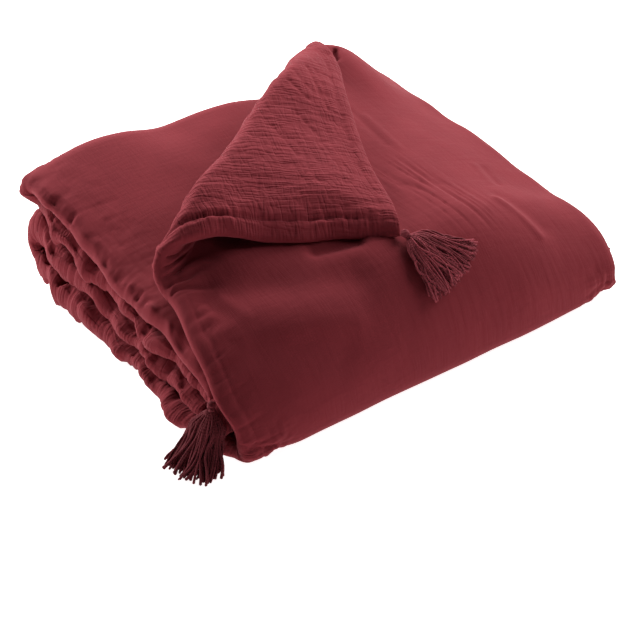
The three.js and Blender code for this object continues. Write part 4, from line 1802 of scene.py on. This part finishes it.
@dataclass(frozen=True)
class GauzeFinish(CottonFinish):
    """Cotton double gauze, two open weaves tacked together, washed so that it crinkles.

    The eye sees a matt dusty red with fine creases both ways, a faint weave and a soft bloom of
    fibre ends towards the light.
    """

    name: str = "cotton_double_gauze"
    shade: str = "74262D"
    light: str = "812C33"
    roughness: float = 0.92
    specular: float = 0.12
    bloom: float = 0.078
    patch_mm: float = 1000 / 22  # soft patches of tint, 22 to a metre
    crease_mm: float = 6.5
    crease_deep: float = 0.45
    crease_width: float = 0.14
    crease_lengths: Pair = (6.0, 5.0)
    thread_mm: float = 1.3  # real threads lie about 0.4 mm apart, too fine to show
    thread_deep: float = 0.08
    thread_strength: float = 0.6
    thread_unevenness: float = 1.5

    def pattern(self, tree: Tree) -> tuple[Socket, Socket]:
        """Tint by soft patches, relief by creases both ways, where crinkled, and by the weave.

        Args:
            tree: the material's nodes.

        Returns:
            Share of the light tint, and the normal.
        """
        cloth = add_node(tree, "ShaderNodeUVMap", uv_map=CLOTH_UV).outputs["UV"]
        crinkled = add_node(tree, "ShaderNodeAttribute", attribute_name=CRINKLED_SHARE)
        scale = 1 / (self.patch_mm * MM)
        patches = add_node(tree, "ShaderNodeTexNoise", {"Vector": cloth}, Scale=scale, Detail=3.0)
        along = self.crease_lines(tree, cloth, (1 / self.crease_lengths[0], 1.0, 1.0))
        across = self.crease_lines(tree, cloth, (1.0, 1 / self.crease_lengths[1], 1.0))
        both = add_node(tree, "ShaderNodeMath", {0: along, 1: across}, operation="ADD")
        shown = add_node(
            tree,
            "ShaderNodeMath",
            {0: both.outputs[0], 1: crinkled.outputs["Fac"]},
            operation="MULTIPLY",
        )
        coarse = add_node(
            tree,
            "ShaderNodeBump",
            {"Height": shown.outputs[0]},
            Strength=1.0,
            Distance=self.crease_deep * MM,
        )
        fine = add_node(
            tree,
            "ShaderNodeBump",
            {"Height": self.weave(tree, cloth), "Normal": coarse.outputs[0]},
            Strength=self.thread_strength,
            Distance=self.thread_deep * MM,
        )
        return patches.outputs[0], fine.outputs[0]

    def crease_lines(self, tree: Tree, cloth: Socket, stretch: Triple) -> Socket:
        """Long thin creases, where a stretched noise passes its middle.

        Args:
            tree: the material's nodes.
            cloth: place on the flat cloth, in metres.
            stretch: scale of the place, less than 1 the way the creases run.

        Returns:
            0 in a crease and 1 on the puffs between.
        """
        mapped = add_node(tree, "ShaderNodeMapping", {"Vector": cloth}, Scale=stretch)
        noise = add_node(
            tree,
            "ShaderNodeTexNoise",
            {"Vector": mapped.outputs[0]},
            Scale=1 / (self.crease_mm * MM),
            Detail=1.0,
        )
        level = add_node(tree, "ShaderNodeMath", {0: noise.outputs[0]}, operation="SUBTRACT")
        level.inputs[1].default_value = 0.5
        apart = add_node(tree, "ShaderNodeMath", {0: level.outputs[0]}, operation="ABSOLUTE")
        puff = add_node(
            tree,
            "ShaderNodeMapRange",
            {"Value": apart.outputs[0]},
            interpolation_type="SMOOTHSTEP",
            From_Max=self.crease_width,
        )
        return puff.outputs[0]

    def weave(self, tree: Tree, cloth: Socket) -> Socket:
        """Warp and weft as two sets of sine waves, one thread apart.

        Args:
            tree: the material's nodes.
            cloth: place on the flat cloth, in metres.

        Returns:
            Height of the threads.
        """
        waves = {}
        for number, direction in enumerate("XY"):
            wave = add_node(
                tree,
                "ShaderNodeTexWave",
                {"Vector": cloth},
                bands_direction=direction,
                Scale=wave_scale(self.thread_mm * MM),
                Distortion=self.thread_unevenness,
                Detail=1.0,
            )
            waves[number] = wave.outputs["Fac"]
        return add_node(tree, "ShaderNodeMath", waves, operation="ADD").outputs[0]


@dataclass(frozen=True)
class YarnFinish(CottonFinish):
    """Cotton yarn, spun and plied, left unbound in the skirts: matt, with a slanting twist.

    The eye sees separate yarns, some of them paler with wear, each with fine slanting turns; the
    hanging tassels' yarns are darker, as painted shade.
    """

    name: str = "plied_cotton_yarn"
    shade: str = "602026"
    light: str = "984049"
    roughness: float = 0.85
    specular: float = 0.15
    bloom: float = 0.1
    twist_mm: float = 2.2
    twist_deep: float = 0.4
    twist_strength: float = 0.5
    twist_waves: float = 1.5
    twist_unevenness: float = 0.6

    def pattern(self, tree: Tree) -> tuple[Socket, Socket]:
        """Tint by each yarn's tone, random wear with painted light and shade per tassel, and relief
        by slanting turns of the twist.

        Args:
            tree: the material's nodes.

        Returns:
            Share of the light tint, and the normal.
        """
        tone = add_node(tree, "ShaderNodeAttribute", attribute_name=TONE_SHARE)
        place = add_node(tree, "ShaderNodeUVMap", uv_map=CLOTH_UV)
        along = 1 / (self.twist_mm * MM)
        slanted = add_node(
            tree, "ShaderNodeMapping", {"Vector": place.outputs["UV"]}, Scale=(1.0, along, 1.0)
        )
        wave = add_node(
            tree,
            "ShaderNodeTexWave",
            {"Vector": slanted.outputs[0]},
            bands_direction="DIAGONAL",
            Scale=wave_scale(1 / self.twist_waves),
            Distortion=self.twist_unevenness,
        )
        bump = add_node(
            tree,
            "ShaderNodeBump",
            {"Height": wave.outputs["Fac"]},
            Strength=self.twist_strength,
            Distance=self.twist_deep * MM,
        )
        return tone.outputs["Fac"], bump.outputs[0]


@dataclass(frozen=True)
class PaperFinish:
    """Seamless studio paper, lit from below: plain, nearly white and matt.

    The eye sees no edge between the floor and what is behind it.
    """

    name: str = "studio_paper"
    colour: str = "F6F5F4"
    roughness: float = 0.95
    specular: float = 0.1
    glow: float = 0.96

    def build(self) -> bpy.types.Material:
        """Makes the material: one even colour that glows.

        Returns:
            The material.
        """
        material = bpy.data.materials.new(self.name)
        material.use_nodes = True
        inputs = material.node_tree.nodes["Principled BSDF"].inputs
        inputs["Base Color"].default_value = linear(self.colour)
        inputs["Roughness"].default_value = self.roughness
        inputs["Specular IOR Level"].default_value = self.specular
        inputs["Emission Color"].default_value = (1, 1, 1, 1)
        inputs["Emission Strength"].default_value = self.glow
        return material


def aim(name: str, data: bpy.types.ID, away: Vector, place: Vector) -> bpy.types.Object:
    """Adds a lamp or a camera that looks back along a direction.

    Args:
        name: name of the object.
        data: its lamp or camera data.
        away: unit vector against its line of sight.
        place: where it stands, in metres.

    Returns:
        The object, linked to the scene.
    """
    aimed = bpy.data.objects.new(name, data)
    aimed.location = place
    aimed.rotation_euler = (-away).to_track_quat("-Z", "Y").to_euler()
    bpy.context.scene.collection.objects.link(aimed)
    return aimed


@dataclass(frozen=True)
class SoftBox:
    """A square studio light that faces the pile from a bearing and a height angle, in degrees."""

    name: str
    bearing: float
    height: float
    watts: float
    distance: float = 3.0
    size: float = 1.6

    def build(self) -> None:
        """Adds the light, aimed at the pile's origin."""
        light = bpy.data.lights.new(self.name, "AREA")
        light.shape = "SQUARE"
        light.size = self.size
        light.energy = self.watts
        bearing, height = math.radians(self.bearing), math.radians(self.height)
        level = math.cos(height)
        away = Vector((math.cos(bearing) * level, math.sin(bearing) * level, math.sin(height)))
        aim(self.name, light, away, away * self.distance)


@dataclass
class Studio:
    """Camera, floor and soft light, in metres, with the lens and its sensor in millimetres."""

    target: Triple = (-0.0906, -0.1146, 0.060)
    distance: float = 2.1704
    azimuth: float = math.radians(36.47)
    elevation: float = math.radians(35.72)
    lens: float = 120.6
    sensor: float = 36.0
    floor: float = -0.0004
    floor_reach: float = 30.0
    sky: float = 0.02
    boxes: tuple[SoftBox, ...] = (
        SoftBox("right", -10.0, 36.0, 62.0),
        SoftBox("back_right", 50.0, 36.0, 106.0),
        SoftBox("back_left", 112.0, 23.0, 114.0),
    )

    def build_camera(self) -> None:
        """Adds the camera at its distance from the target, against the line of sight."""
        level = math.cos(self.elevation)
        left, ahead = -math.sin(self.azimuth) * level, -math.cos(self.azimuth) * level
        away = Vector((left, ahead, math.sin(self.elevation)))
        lens = bpy.data.cameras.new("camera")
        lens.lens = self.lens
        lens.sensor_width = self.sensor
        place = Vector(self.target) + away * self.distance
        bpy.context.scene.camera = aim("camera", lens, away, place)

    def build_stage(self) -> None:
        """Adds the floor, the sky's even light and the soft boxes."""
        corners = self.floor_reach * np.array([[-1, -1], [1, -1], [1, 1], [-1, 1]])
        points = np.column_stack([corners, np.full(4, self.floor)])
        floor = mesh_object("floor", points, np.array([[0, 1, 2, 3]]))
        floor.data.materials.append(PaperFinish().build())
        world = bpy.data.worlds.new("studio")
        world.use_nodes = True
        inputs = world.node_tree.nodes["Background"].inputs
        inputs["Color"].default_value = (1, 1, 1, 1)
        inputs["Strength"].default_value = self.sky
        bpy.context.scene.world = world
        bpy.context.scene.view_settings.view_transform = "Standard"
        for box in self.boxes:
            box.build()


def tassels() -> dict[str, Tassel]:
    """The four tassels, by the name of the node that each stands for.

    Returns:
        The turned-back corner's, then those of the inner end's corners and the outer end's right.
    """
    return {
        "tassel_flap": LyingTassel("flap_tassel", seed=5),
        "tassel_inner_left": HangingTassel(
            "inner_left_tassel", seed=6, start=(-0.3, -0.4, -0.2), neck=(-7, -14, -15),
            fan=(181, 226),
        ),
        "tassel_inner_right": HangingTassel(
            "inner_right_tassel", seed=7, side=1, start=(0.4, 0.6, -1.5), neck=(9, 9, -16),
            fan=(92, 40), short=24, long=34,
        ),
        "tassel_outer_right": HangingTassel(
            "outer_right_tassel", seed=8, at_outer_end=True, side=1, start=(-0.8, 0.2, -6.0),
            neck=(9, 9, -22), fan=(150, 30), short=22, long=34,
        ),
    }


def dress(piece: bpy.types.Object, node: str, material: bpy.types.Material) -> None:
    """Gives a piece its material, ties it to the root body, and hides the imported part of the
    node that it stands for.

    Args:
        piece: the finished mesh object.
        node: name of the part's node.
        material: the piece's finish.
    """
    piece.data.materials.append(material)
    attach(piece, "root")
    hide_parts(node)
    LOG.info("%s: %d faces", piece.name, len(piece.data.polygons))


def main() -> None:
    """Builds the studio, the runner and its four tassels."""
    logging.basicConfig(level=logging.INFO)
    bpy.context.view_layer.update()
    studio = Studio()
    studio.build_camera()
    gauze, yarn = GauzeFinish().build(), YarnFinish().build()
    runner = Runner()
    cloth = runner.build()
    dress(cloth, "runner", gauze)
    for node, tassel in tassels().items():
        dress(tassel.build(runner), node, yarn)
    studio.build_stage()
    bpy.context.view_layer.update()


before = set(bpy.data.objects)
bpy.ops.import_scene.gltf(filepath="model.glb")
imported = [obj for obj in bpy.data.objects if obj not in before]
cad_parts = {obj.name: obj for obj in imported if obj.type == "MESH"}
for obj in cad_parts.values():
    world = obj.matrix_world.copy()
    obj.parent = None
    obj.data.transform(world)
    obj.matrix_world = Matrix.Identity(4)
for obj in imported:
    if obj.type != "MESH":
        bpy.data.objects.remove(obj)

if __name__ == "__main__":
    main()
